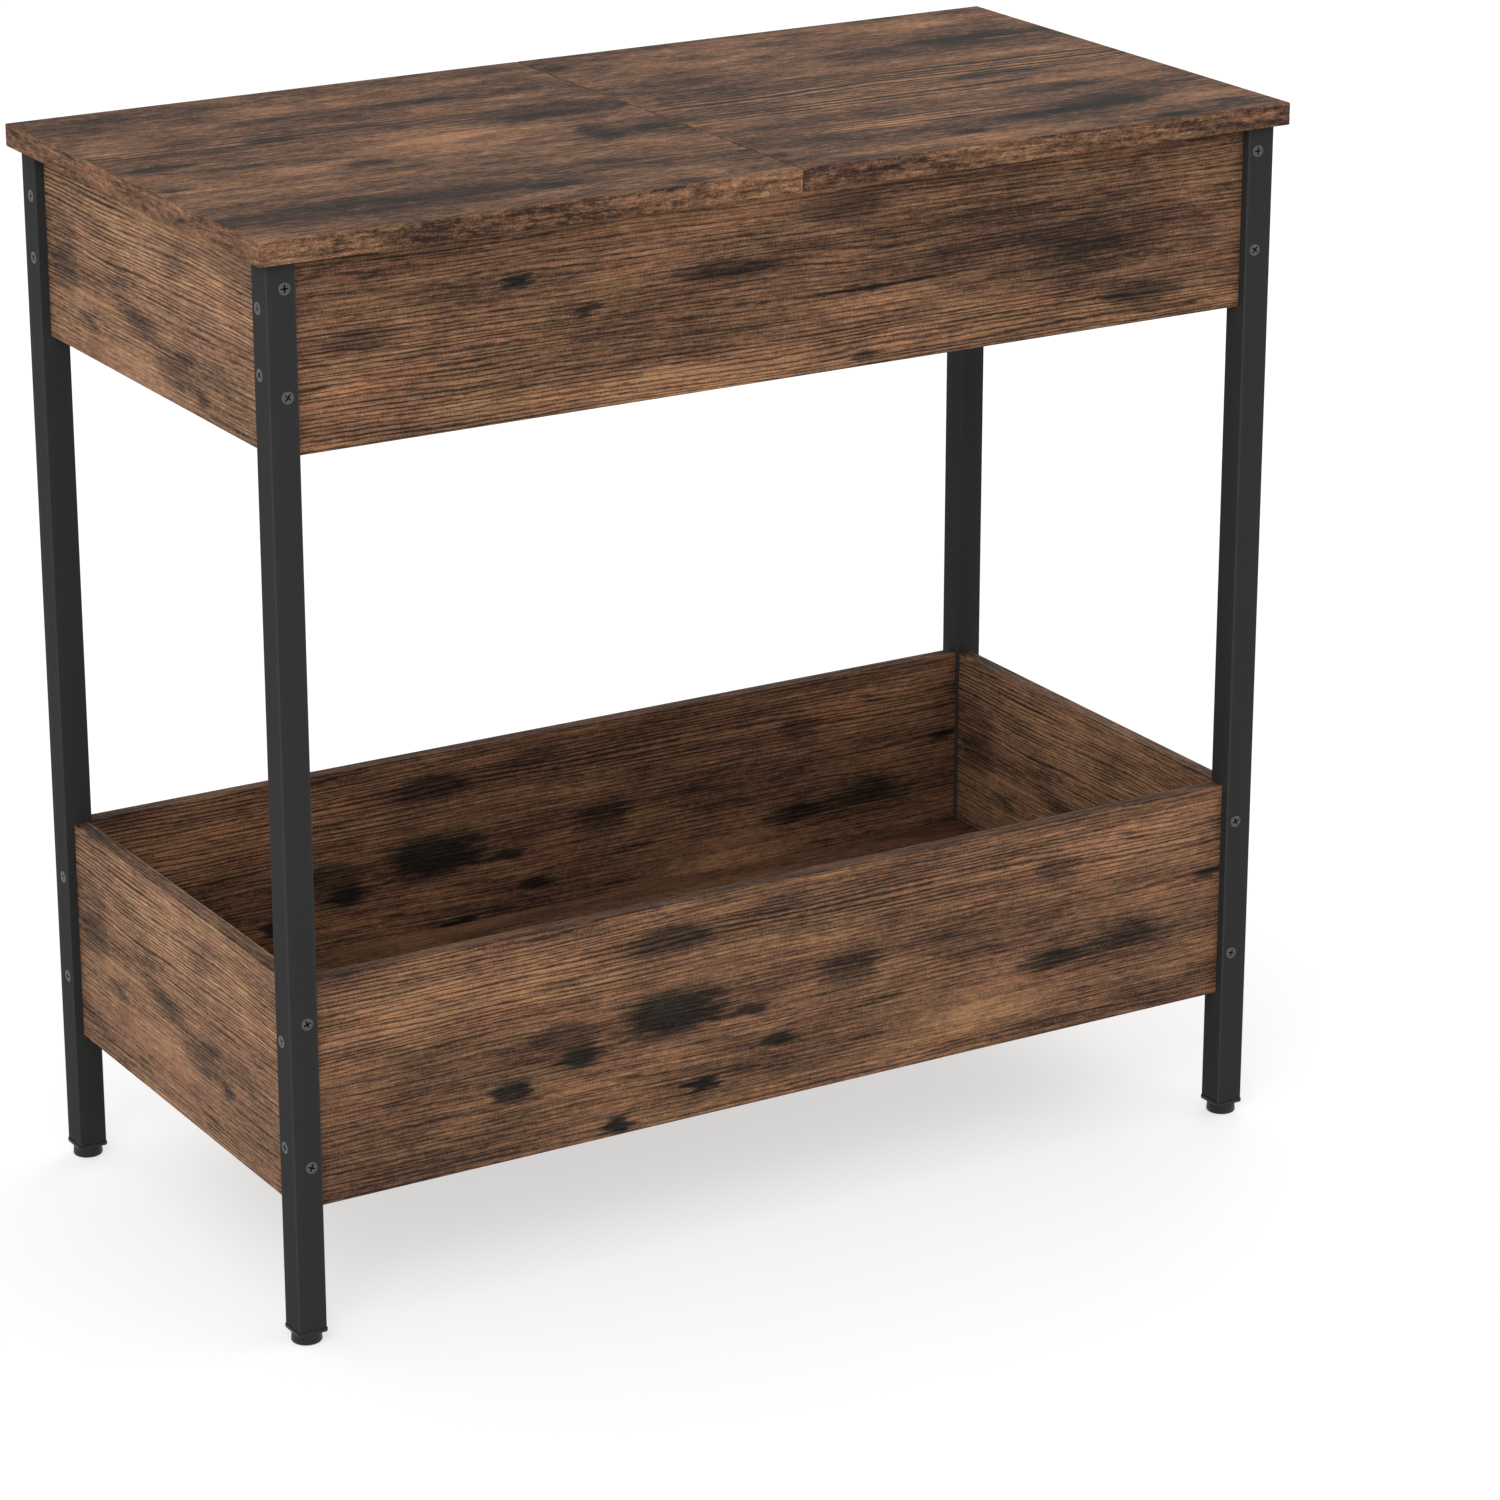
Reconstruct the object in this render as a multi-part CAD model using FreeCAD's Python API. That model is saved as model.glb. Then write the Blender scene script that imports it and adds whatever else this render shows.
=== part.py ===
"""Storage side table: four square steel legs, an upper box under two hinged lids, and an open bin below.

Millimetres, +Z up. The origin is on the floor under the middle of the table, and the front faces -Y.
"""
import FreeCAD, Part
import math
import os

Vector = FreeCAD.Vector

# Table top
top_length = 600.0
top_width = 300.0
top_thickness = 12.0
table_height = 578.0
top_overhang = 5.6
lid_gap = 0.6
edge_ease = 0.4

# Square steel legs
tube_side = 16.0
tube_wall = 1.2
tube_corner_radius = 1.0
top_cap_wall = 2.0
top_cap_depth_share = 0.6

# Boards of the upper box and of the bin
board_thickness = 9.0
corner_reveal = 1.5
upper_box_height = 98.0
bin_height = 123.0
bin_lift = 65.5
floor_thickness = 5.0
floor_lift = 13.0
groove_depth = 3.0

# Countersunk screws that hold the boards between the legs
screw_head_radius = 3.3
screw_shank_radius = 1.75
screw_bite = 22.0
screw_tip_share = 0.4
screw_sides = 8
upper_end_screw_shares = (0.136, 0.682)
upper_side_screw_shares = (0.242, 0.577)
bin_end_screw_shares = (0.166, 0.800)
bin_side_screw_shares = (0.253, 0.722)

# Butt hinges under the back edge of each lid
hinge_length = 30.0
hinge_leaf = 1.0
hinge_offset = 1.0
hinge_margin = 1.5
knuckle_radius = 2.0
knuckle_count = 3
knuckle_sides = 12
pin_radius = 1.0
hinge_place_shares = (0.2, 0.8)
hinge_screw_place_shares = (-0.27, 0.27)
hinge_screw_head_radius = 2.3
hinge_screw_radius = 1.25
frame_hinge_screw_length = 12.0
lid_hinge_screw_share = 0.7

# Levelling feet
foot_radius = 8.0
foot_height = 6.0
foot_taper = 0.4
foot_rim = 1.2
foot_top_ease = 0.5
foot_rim_shares = ((1, 0), (0.3, 0.3), (0, 1))
foot_sides = 24
foot_socket_depth = 4.0
foot_travel = 8.0
flange_height = 2.0
flange_lip = 0.5
flange_corner = 1.2
flange_ease = 0.6
plug_depth = 16.0
plug_rib_count = 4
plug_rib_height = 1.8
plug_rib_depth = 0.4
stud_radius = 3.0
stud_sides = 12
nut_flats = 10.0
nut_height = 5.0
nut_sides = 6

# Clearances
running_clearance = 0.05
fit_clearance = 0.1
seat_clearance = 0.3
cut_overrun = 1.0

# Levels and planes worked out from the sizes above
foot_reach = foot_height + flange_height
tube_bottom = foot_reach
tube_top = table_height - top_thickness
outer_x = top_length / 2 - top_overhang
outer_y = top_width / 2 - top_overhang
board_inset = tube_side - board_thickness - corner_reveal
tube_inner_side = tube_side - 2 * tube_wall
board_middle = board_inset + board_thickness / 2
hinge_y = outer_y + hinge_offset
knuckle_space = knuckle_radius + seat_clearance

CORNERS = {
    "front_left": (-1, -1),
    "front_right": (1, -1),
    "back_left": (-1, 1),
    "back_right": (1, 1),
}
SIDES = {"left": -1, "right": 1}
BOXES = {
    "upper": {
        "top": tube_top,
        "height": upper_box_height,
        "end_screws": upper_end_screw_shares,
        "side_screws": upper_side_screw_shares,
    },
    "bin": {
        "top": tube_bottom + bin_lift + bin_height,
        "height": bin_height,
        "end_screws": bin_end_screw_shares,
        "side_screws": bin_side_screw_shares,
    },
}


def block(x_range, y_range, z_range):
    """Box between two values on each axis."""
    size = [max(pair) - min(pair) for pair in (x_range, y_range, z_range)]
    low = Vector(min(x_range), min(y_range), min(z_range))
    return Part.makeBox(size[0], size[1], size[2], low)


def fused(shapes):
    """One solid made of several that touch or overlap."""
    whole = shapes[0]
    for shape in shapes[1:]:
        whole = whole.fuse(shape)
    return whole.removeSplitter()


def lies_along(edge, axis):
    """True for a straight edge that runs along one axis, given as 0, 1 or 2."""
    ends = edge.Vertexes[0].Point - edge.Vertexes[-1].Point
    return abs(ends[axis]) > edge.Length * math.cos(math.radians(1))


def eased(board, axes):
    """Board with the arrises that run along the given axes broken by the edge banding's ease."""
    edges = [edge for edge in board.Edges if any(lies_along(edge, axis) for axis in axes)]
    return board.makeChamfer(edge_ease, edges)


def turned(outline, sides, start, direction):
    """Turned piece with flat sides. The outline is pairs: half the width over flats, place along the axis."""
    rings = []
    for half_width, place in outline:
        radius = half_width / math.cos(math.pi / sides)
        angles = [2 * math.pi * number / sides for number in range(sides)]
        across = [(radius * math.cos(angle), radius * math.sin(angle)) for angle in angles]
        rings.append([Vector(x, y, place) for x, y in across])
    loops = [rings[0], rings[-1]]
    for lower, upper in zip(rings, rings[1:]):
        for number in range(sides):
            loops.append([lower[number - 1], lower[number], upper[number], upper[number - 1]])
    faces = [Part.Face(Part.makePolygon(loop + loop[:1])) for loop in loops]
    piece = Part.makeSolid(Part.makeShell(faces))
    if piece.Volume < 0:
        piece.reverse()
    piece.Placement = FreeCAD.Placement(start, FreeCAD.Rotation(Vector(0, 0, 1), direction))
    return piece


def countersunk_screw(head, direction, sizes, slack=0.0):
    """Screw, or with a slack the hole for one, from the middle of its flush head along a direction."""
    head_radius, shank_radius, length = sizes
    outline = [
        (head_radius + 2 * slack, -slack),
        (shank_radius + slack, head_radius - shank_radius),
    ]
    if slack:
        outline.append((shank_radius + slack, length + slack))
    else:
        outline.append((shank_radius, length - shank_radius))
        outline.append((shank_radius * screw_tip_share, length))
    return turned(outline, screw_sides, head, direction)


def leg_screw_places(corner):
    """Head centre and direction of each screw through one leg, by the box that it holds."""
    side, end = CORNERS[corner]
    middle_x = side * (outer_x - board_middle)
    middle_y = end * (outer_y - board_middle)
    places = []
    for box in BOXES.values():
        for share in box["end_screws"]:
            level = box["top"] - share * box["height"]
            places.append((Vector(middle_x, end * outer_y, level), Vector(0, -end, 0)))
        for share in box["side_screws"]:
            level = box["top"] - share * box["height"]
            places.append((Vector(side * outer_x, middle_y, level), Vector(-side, 0, 0)))
    return places


def leg_screw_sizes():
    """Sizes of one screw through a leg into a board's end."""
    return (screw_head_radius, screw_shank_radius, tube_side + screw_bite)


def leg_screws(corner):
    """The screws of one leg."""
    return [countersunk_screw(head, way, leg_screw_sizes()) for head, way in leg_screw_places(corner)]


def leg_screw_holes():
    """Every hole that the leg screws make, through legs and boards alike."""
    holes = []
    for corner in CORNERS:
        for head, way in leg_screw_places(corner):
            holes.append(countersunk_screw(head, way, leg_screw_sizes(), running_clearance))
    return Part.makeCompound(holes)


def leg_axis(corner):
    """Middle of a leg's section."""
    side, end = CORNERS[corner]
    return Vector(side * (outer_x - tube_side / 2), end * (outer_y - tube_side / 2), 0)


def square_bar(corner, side_length, z_range):
    """Square bar that stands on a leg's axis."""
    middle = leg_axis(corner)
    half = side_length / 2
    return block((middle.x - half, middle.x + half), (middle.y - half, middle.y + half), z_range)


def leg(corner, holes):
    """Square tube, open at both ends and drilled for its screws."""
    tube = square_bar(corner, tube_side, (tube_bottom, tube_top))
    tube = tube.makeFillet(tube_corner_radius, [edge for edge in tube.Edges if lies_along(edge, 2)])
    bore = (tube_bottom - cut_overrun, tube_top + cut_overrun)
    return tube.cut(square_bar(corner, tube_inner_side, bore)).cut(holes)


def top_cap(corner):
    """Plastic cap pressed flush into the upper end of a leg, hollow below."""
    depth = upper_box_height * upper_end_screw_shares[0] * top_cap_depth_share
    outside = tube_inner_side - 2 * fit_clearance
    inside = outside - 2 * top_cap_wall
    shell = square_bar(corner, outside, (tube_top - depth, tube_top))
    hollow = (tube_top - depth - cut_overrun, tube_top - top_cap_wall)
    return shell.cut(square_bar(corner, inside, hollow))


def inner_x():
    """Distance from the middle to the inner face of a left or right board."""
    return outer_x - board_inset - board_thickness


def inner_y():
    """Distance from the middle to the inner face of a front or back board."""
    return outer_y - board_inset - board_thickness


def box_floor_level(box):
    """Height of the upper face of the grooves' lower cheek, which the floor rests on."""
    return box["top"] - box["height"] + floor_lift


def floor_groove(box):
    """Ring of space that the floor's grooves take out of the four boards."""
    reach_x = inner_x() + groove_depth
    reach_y = inner_y() + groove_depth
    level = box_floor_level(box)
    rise = (level, level + floor_thickness + fit_clearance)
    return block((-reach_x, reach_x), (-reach_y, reach_y), rise)


def long_board(box, end):
    """Front or back board of a box, between two legs. end is -1 in front and 1 behind."""
    span = outer_x - tube_side
    face = end * (outer_y - board_inset)
    bottom = box["top"] - box["height"]
    board = block((-span, span), (face, end * inner_y()), (bottom, box["top"]))
    return eased(board, (0,)).cut(floor_groove(box))


def short_board(box, side):
    """Left or right board of a box, between two legs. side is -1 on the left and 1 on the right."""
    span = outer_y - tube_side
    face = side * (outer_x - board_inset)
    bottom = box["top"] - box["height"]
    board = block((face, side * inner_x()), (-span, span), (bottom, box["top"]))
    return eased(board, (1,)).cut(floor_groove(box))


def box_floor(box):
    """Floor board that lies in the grooves, notched round the four legs."""
    reach_x = inner_x() + groove_depth - seat_clearance
    reach_y = inner_y() + groove_depth - seat_clearance
    level = box_floor_level(box)
    board = block((-reach_x, reach_x), (-reach_y, reach_y), (level, level + floor_thickness))
    notch_side = tube_side + 2 * seat_clearance
    notch_rise = (level - cut_overrun, level + floor_thickness + cut_overrun)
    for corner in CORNERS:
        board = board.cut(square_bar(corner, notch_side, notch_rise))
    return board


def divider_space(slack):
    """Space of the middle divider, with a slack for the housings that hold its two ends."""
    reach = inner_y() + groove_depth - seat_clearance + (seat_clearance if slack else 0)
    half = board_thickness / 2 + slack
    bottom = box_floor_level(BOXES["upper"]) + floor_thickness
    top = tube_top + (cut_overrun if slack else 0)
    return block((-half, half), (-reach, reach), (bottom, top))


def lid_span(side):
    """Inner and outer end of one lid along the table."""
    return side * lid_gap / 2, side * top_length / 2


def hinge_middles(side):
    """Places of one lid's hinges along the table."""
    inner, outer = lid_span(side)
    return [inner + share * (outer - inner) for share in hinge_place_shares]


def knuckle_span(middle, number, gap):
    """Start and end along the table of one knuckle, counted from 0, with a gap taken off each end."""
    pitch = hinge_length / knuckle_count
    start = middle - hinge_length / 2 + number * pitch
    return start + gap, start + pitch - gap


def hinge_axis_point(x_place):
    """Point of the hinge axis at a place along the table."""
    return Vector(x_place, hinge_y, tube_top)


def knuckle_bar(radius, start, end):
    """Many-sided bar along the hinge axis between two places along the table."""
    outline = [(radius, 0), (radius, end - start)]
    return turned(outline, knuckle_sides, hinge_axis_point(start), Vector(1, 0, 0))


def leaf_levels(rise):
    """Lower and upper face of a leaf. rise is -1 for the frame's leaf and 1 for the lid's."""
    near = tube_top + rise * running_clearance
    return near, near + rise * hinge_leaf


def leaf_reach():
    """Width of a leaf from the hinge axis to its edge inside the back board."""
    return hinge_offset + board_inset + board_thickness - hinge_margin


def hinge_screw_sizes(rise):
    """Sizes of one hinge screw. rise is -1 for the frame's screws and 1 for the lid's."""
    length = frame_hinge_screw_length if rise < 0 else top_thickness * lid_hinge_screw_share
    return (hinge_screw_head_radius, hinge_screw_radius, length)


def hinge_screw_places(side, rise):
    """Head centres and direction of the screws through one lid's leaves."""
    level = leaf_levels(rise)[0]
    middle_y = outer_y - board_middle
    places = []
    for middle in hinge_middles(side):
        for share in hinge_screw_place_shares:
            head = Vector(middle + share * hinge_length, middle_y, level)
            places.append((head, Vector(0, 0, rise)))
    return places


def hinge_screws(side, rise, slack=0.0):
    """Screws, or with a slack their holes, of one lid's leaves."""
    sizes = hinge_screw_sizes(rise)
    return [countersunk_screw(head, way, sizes, slack) for head, way in hinge_screw_places(side, rise)]


def hinge_leaf_solid(side, middle, rise):
    """One leaf of a butt hinge with its knuckles. The frame's leaf has the even ones."""
    ends = (middle - hinge_length / 2, middle + hinge_length / 2)
    leaf = block(ends, (hinge_y - leaf_reach(), hinge_y), leaf_levels(rise))
    own_first = 0 if rise < 0 else 1
    pieces = [leaf]
    spaces = hinge_screws(side, rise, running_clearance)
    for number in range(knuckle_count):
        if number % 2 == own_first:
            start, end = knuckle_span(middle, number, fit_clearance if rise > 0 else 0)
            pieces.append(knuckle_bar(knuckle_radius, start, end))
        else:
            start, end = knuckle_span(middle, number, 0 if rise > 0 else -fit_clearance / 2)
            clear = (hinge_y - knuckle_space, hinge_y + knuckle_space)
            spaces.append(block((start, end), clear, (tube_top - knuckle_space, tube_top + knuckle_space)))
    bore = knuckle_bar(pin_radius + running_clearance, ends[0] - cut_overrun, ends[1] + cut_overrun)
    return fused(pieces).cut(Part.makeCompound(spaces)).cut(bore)


def hinge_pin(middle):
    """Round pin through one hinge's knuckles, flush at both ends."""
    start = hinge_axis_point(middle - hinge_length / 2)
    return Part.makeCylinder(pin_radius, hinge_length, start, Vector(1, 0, 0))


def leaf_pocket(middle, rise):
    """Shallow seat that a leaf is let into, flush with the board."""
    ends = (middle - hinge_length / 2 - fit_clearance, middle + hinge_length / 2 + fit_clearance)
    front = hinge_y - leaf_reach() - fit_clearance
    return block(ends, (front, hinge_y), (tube_top, leaf_levels(rise)[1]))


def knuckle_pocket(middle):
    """Groove in a lid's underside that clears the knuckles."""
    reach = hinge_length / 2 + seat_clearance
    depth = (hinge_y - knuckle_space, hinge_y + knuckle_space)
    return block((middle - reach, middle + reach), depth, (tube_top, tube_top + knuckle_space))


def lid(side):
    """One half of the table top, with the seats of its hinges in the underside."""
    board = block(lid_span(side), (-top_width / 2, top_width / 2), (tube_top, table_height))
    spaces = hinge_screws(side, 1, running_clearance)
    for middle in hinge_middles(side):
        spaces.append(leaf_pocket(middle, 1))
        spaces.append(knuckle_pocket(middle))
    edges = [edge for edge in board.Edges if not lies_along(edge, 2)]
    return board.makeChamfer(edge_ease, edges).cut(Part.makeCompound(spaces))


def upper_back_cuts():
    """Hinge seats and screw holes in the upper box's back board."""
    cuts = []
    for side in SIDES.values():
        cuts += hinge_screws(side, -1, running_clearance)
        cuts += [leaf_pocket(middle, -1) for middle in hinge_middles(side)]
    return Part.makeCompound(cuts)


def axis_bar(corner, radius, sides, z_range):
    """Upright many-sided bar on a leg's axis. The radius is to its flats."""
    start = leg_axis(corner) + Vector(0, 0, z_range[0])
    return turned([(radius, 0), (radius, z_range[1] - z_range[0])], sides, start, Vector(0, 0, 1))


def plug_ribs(corner, side_length):
    """Ribs that grip the tube, each chamfered above so that the plug slides in."""
    pitch = plug_depth / plug_rib_count
    ribs = []
    for number in range(plug_rib_count):
        top = tube_bottom + (number + 1) * pitch
        rib = square_bar(corner, side_length, (top - plug_rib_height, top))
        upper_rim = [edge for edge in rib.Edges if edge.BoundBox.ZMin > top - plug_rib_height / 2]
        ribs.append(rib.makeChamfer(plug_rib_depth, upper_rim))
    return ribs


def foot_plug(corner):
    """Ribbed plug in the leg's lower end, with a flange below it and a pocket for the nut."""
    flange = square_bar(corner, tube_side + 2 * flange_lip, (foot_height, tube_bottom))
    flange = flange.makeChamfer(flange_corner, [edge for edge in flange.Edges if lies_along(edge, 2)])
    lower_rim = [edge for edge in flange.Edges if edge.BoundBox.ZMax < foot_height + flange_ease]
    flange = flange.makeChamfer(flange_ease, lower_rim)
    top = tube_bottom + plug_depth
    body_side = tube_inner_side - 2 * fit_clearance
    body = square_bar(corner, body_side - 2 * plug_rib_depth, (tube_bottom, top))
    pocket = axis_bar(corner, nut_flats / 2 + fit_clearance, nut_sides, (top - nut_height, top + cut_overrun))
    bore = axis_bar(corner, stud_radius + fit_clearance, stud_sides, (foot_height - cut_overrun, top))
    return fused([flange, body] + plug_ribs(corner, body_side)).cut(pocket).cut(bore)


def foot_nut(corner):
    """Hexagon nut that the foot's stud screws through."""
    top = tube_bottom + plug_depth
    bottom = top - nut_height
    nut = axis_bar(corner, nut_flats / 2, nut_sides, (bottom, top))
    bore = (bottom - cut_overrun, top + cut_overrun)
    return nut.cut(axis_bar(corner, stud_radius + running_clearance, stud_sides, bore))


def foot_pad(corner):
    """Round pad that stands on the floor, a little wider at the bottom, with a rounded rim."""
    outline = [(foot_radius - foot_rim * width, foot_rim * rise) for width, rise in foot_rim_shares]
    top_edge = foot_radius - foot_taper
    outline.append((top_edge, foot_height - foot_top_ease))
    outline.append((top_edge - foot_top_ease, foot_height))
    pad = turned(outline, foot_sides, leg_axis(corner), Vector(0, 0, 1))
    socket = (foot_height - foot_socket_depth, foot_height + cut_overrun)
    return pad.cut(axis_bar(corner, stud_radius + running_clearance, stud_sides, socket))


def foot_stud(corner):
    """Steel stud of a foot, long enough to stay in its nut when the foot is screwed right out."""
    rise = (foot_height - foot_socket_depth, tube_bottom + plug_depth + foot_travel)
    return axis_bar(corner, stud_radius, stud_sides, rise)


def leg_nodes():
    """Legs, their caps, plugs, nuts, feet and screws."""
    holes = leg_screw_holes()
    nodes = {}
    for corner in CORNERS:
        nodes["leg_" + corner] = leg(corner, holes)
        nodes["foot_plug_" + corner] = foot_plug(corner)
        nodes["foot_pad_" + corner] = foot_pad(corner)
        nodes["foot_stud_" + corner] = foot_stud(corner)
        nodes["leg_screws_" + corner] = Part.makeCompound(leg_screws(corner))
    nodes["leg_top_caps"] = Part.makeCompound([top_cap(corner) for corner in CORNERS])
    nodes["foot_nuts"] = Part.makeCompound([foot_nut(corner) for corner in CORNERS])
    return nodes


def box_nodes():
    """Boards and floors of the upper box and the bin, and the divider."""
    holes = leg_screw_holes()
    nodes = {}
    for name, box in BOXES.items():
        nodes[name + "_front_board"] = long_board(box, -1).cut(holes)
        nodes[name + "_back_board"] = long_board(box, 1).cut(holes)
        nodes[name + "_left_board"] = short_board(box, -1).cut(holes)
        nodes[name + "_right_board"] = short_board(box, 1).cut(holes)
        nodes[name + "_floor"] = box_floor(box)
    housings = divider_space(fit_clearance)
    nodes["upper_front_board"] = nodes["upper_front_board"].cut(housings)
    nodes["upper_back_board"] = nodes["upper_back_board"].cut(housings).cut(upper_back_cuts())
    nodes["upper_divider"] = divider_space(0)
    return nodes


def lid_nodes():
    """Lids with their hinges and hinge screws."""
    nodes = {}
    for name, side in SIDES.items():
        nodes["lid_" + name] = lid(side)
        nodes["hinge_frame_screws_" + name] = Part.makeCompound(hinge_screws(side, -1))
        nodes["hinge_lid_screws_" + name] = Part.makeCompound(hinge_screws(side, 1))
        for place, middle in zip(("inner", "outer"), hinge_middles(side)):
            ending = "_" + name + "_" + place
            nodes["hinge_frame_leaf" + ending] = hinge_leaf_solid(side, middle, -1)
            nodes["hinge_lid_leaf" + ending] = hinge_leaf_solid(side, middle, 1)
            nodes["hinge_pin" + ending] = hinge_pin(middle)
    return nodes


def main():
    """Builds every piece and writes one STEP file for each node."""
    os.makedirs("parts", exist_ok=True)
    nodes = {**leg_nodes(), **box_nodes(), **lid_nodes()}
    for name, shape in nodes.items():
        shape.exportStep("parts/" + name + ".step")
        print(name, len(shape.Solids), "solids", round(shape.Volume), "mm3", shape.isValid())


main()
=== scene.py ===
"""Dresses the storage side table: printed boards, powder-coated legs, screws, levelling feet and hinges.

Metres, +Z up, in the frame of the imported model. The floor is z = 0 and the front faces -Y. Sizes that
belong to a pattern or to a small fastener are given in millimetres, as on a drawing.
"""

import logging
import math
from collections.abc import Callable
from dataclasses import dataclass, replace
from enum import Enum
from typing import ClassVar

import bpy
from mathutils import Matrix, Quaternion, Vector

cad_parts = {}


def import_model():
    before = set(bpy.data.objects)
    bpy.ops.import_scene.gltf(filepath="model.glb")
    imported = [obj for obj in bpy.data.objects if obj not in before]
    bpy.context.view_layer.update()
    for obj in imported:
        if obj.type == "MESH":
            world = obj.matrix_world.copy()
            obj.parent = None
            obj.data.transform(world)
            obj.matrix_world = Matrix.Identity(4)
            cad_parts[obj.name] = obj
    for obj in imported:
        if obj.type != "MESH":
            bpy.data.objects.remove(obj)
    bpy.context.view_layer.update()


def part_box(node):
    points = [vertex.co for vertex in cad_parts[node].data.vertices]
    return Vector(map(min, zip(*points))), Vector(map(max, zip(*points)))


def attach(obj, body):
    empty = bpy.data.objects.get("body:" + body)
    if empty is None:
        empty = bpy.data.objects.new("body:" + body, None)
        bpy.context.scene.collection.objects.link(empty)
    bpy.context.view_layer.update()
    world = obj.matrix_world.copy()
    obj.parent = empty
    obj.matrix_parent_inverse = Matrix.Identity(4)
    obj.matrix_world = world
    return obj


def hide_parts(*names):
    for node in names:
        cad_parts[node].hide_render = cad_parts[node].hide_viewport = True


Shape = bpy.types.Object
Material = bpy.types.Material
Tree = bpy.types.NodeTree
Node = bpy.types.Node
Socket = bpy.types.NodeSocket
Point = tuple[float, float, float]

LOG = logging.getLogger("side_table")
MM = 0.001
CORNERS = {
    "front_left": (-1, -1),
    "front_right": (1, -1),
    "back_left": (-1, 1),
    "back_right": (1, 1),
}
SIDES = ("left", "right")
UP = Vector((0, 0, 1))
TINY = 1e-6
SMOOTH_DEGREES = 30
PLASTIC_IOR = 1.5
HEXAGON_CORNER = 1 / math.cos(math.radians(30))
# Of an equilateral triangle whose corners lie 1 away from its middle.
TRIANGLE_HEIGHT = 1.5
TRIANGLE_HALF_SIDE = math.cos(math.radians(30))
# Of a thread's ridge: half the width of its foot as a share of the pitch, and its steps in a turn.
RIDGE_HALF_FOOT = 0.42
RIDGE_STEPS = 16


class Lay(Enum):
    """How a print lies. The rows point along the grain, down the face and through the board."""

    TOP = ((1, 0, 0), (0, -1, 0), (0, 0, -1))
    FRONT = ((1, 0, 0), (0, 0, -1), (0, 1, 0))
    SIDE = ((0, -1, 0), (0, 0, -1), (1, 0, 0))


def linear(hex_colour: str) -> tuple[float, float, float, float]:
    """Turns an sRGB hex colour to the linear values that shaders take.

    Args:
        hex_colour: Six hex digits after a hash sign.

    Returns:
        Red, green, blue and an alpha of 1.
    """
    shares = [int(hex_colour[at : at + 2], 16) / 255 for at in (1, 3, 5)]
    curve = [share / 12.92 if share <= 0.04045 else ((share + 0.055) / 1.055) ** 2.4 for share in shares]
    return (curve[0], curve[1], curve[2], 1.0)


def add_node(tree: Tree, kind: str, inputs: dict | None = None, **settings: str) -> Node:
    """Adds one shader node with its inputs and its settings.

    Args:
        tree: Node tree that takes the node.
        kind: Blender's name of the node's type, after the word ShaderNode.
        inputs: Value or output socket for each input, by the input's name or number.
        **settings: Values of the node's own properties.

    Returns:
        The new node.
    """
    node = tree.nodes.new(f"ShaderNode{kind}")
    for name, value in settings.items():
        setattr(node, name, value)
    for key, value in (inputs or {}).items():
        if isinstance(value, Socket):
            tree.links.new(value, node.inputs[key])
        else:
            node.inputs[key].default_value = value
    return node


def maths(tree: Tree, operation: str, *values: Socket | float) -> Socket:
    """Adds a node that does one sum with numbers, and gives its result."""
    return add_node(tree, "Math", dict(enumerate(values)), operation=operation).outputs[0]


def vectors(tree: Tree, operation: str, *values: Socket | tuple) -> Socket:
    """Adds a node that does one sum with vectors, and gives its result."""
    node = add_node(tree, "VectorMath", dict(enumerate(values)), operation=operation)
    return node.outputs["Value" if operation in ("LENGTH", "DOT_PRODUCT") else "Vector"]


def spread(tree: Tree, value: Socket, low: float, high: float) -> Socket:
    """Stretches values from 0 to 1 over a range, and gives the result."""
    inputs = {"Value": value, "To Min": low, "To Max": high}
    return add_node(tree, "MapRange", inputs).outputs[0]


def mixed(tree: Tree, share: Socket, first: Socket | str, second: str, **settings: str) -> Socket:
    """Mixes two colours, given as sockets or hex digits.

    Args:
        tree: Node tree of the material.
        share: How much of the second colour shows.
        first: The first colour.
        second: The second colour.
        **settings: Values of the mixing node's own properties.

    Returns:
        Socket of the mixed colour.
    """
    start = linear(first) if isinstance(first, str) else first
    inputs = {0: share, 6: start, 7: linear(second)}
    return add_node(tree, "Mix", inputs, data_type="RGBA", **settings).outputs[2]


def even_noise(tree: Tree, size_mm: float, detail: float) -> Socket:
    """Adds a noise that is alike in all directions and stays with the piece.

    Args:
        tree: Node tree of the material.
        size_mm: Size of its features.
        detail: How many finer noises ride on it.

    Returns:
        Socket of the noise.
    """
    where = add_node(tree, "TexCoord").outputs["Object"]
    inputs = {"Vector": where, "Scale": 1 / (size_mm * MM), "Detail": detail}
    return add_node(tree, "TexNoise", inputs).outputs[0]


def bumped(tree: Tree, height: Socket, strength: float, depth_mm: float) -> Socket:
    """Raises and sinks the surface a little by a pattern, and gives the new normal."""
    inputs = {"Strength": strength, "Distance": depth_mm * MM, "Height": height}
    return add_node(tree, "Bump", inputs).outputs[0]


def new_tree(name: str) -> tuple[Material, Tree]:
    """Makes a material with an empty node tree.

    Args:
        name: Name of the material.

    Returns:
        The material and its tree.
    """
    material = bpy.data.materials.new(name)
    material.use_nodes = True
    material.node_tree.nodes.clear()
    return material, material.node_tree


def surfaced(tree: Tree, inputs: dict) -> None:
    """Ends a material's tree with a surface.

    Args:
        tree: Node tree of the material.
        inputs: The surface's values and sockets.
    """
    shader = add_node(tree, "BsdfPrincipled", inputs)
    add_node(tree, "OutputMaterial", {"Surface": shader.outputs[0]})


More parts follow.
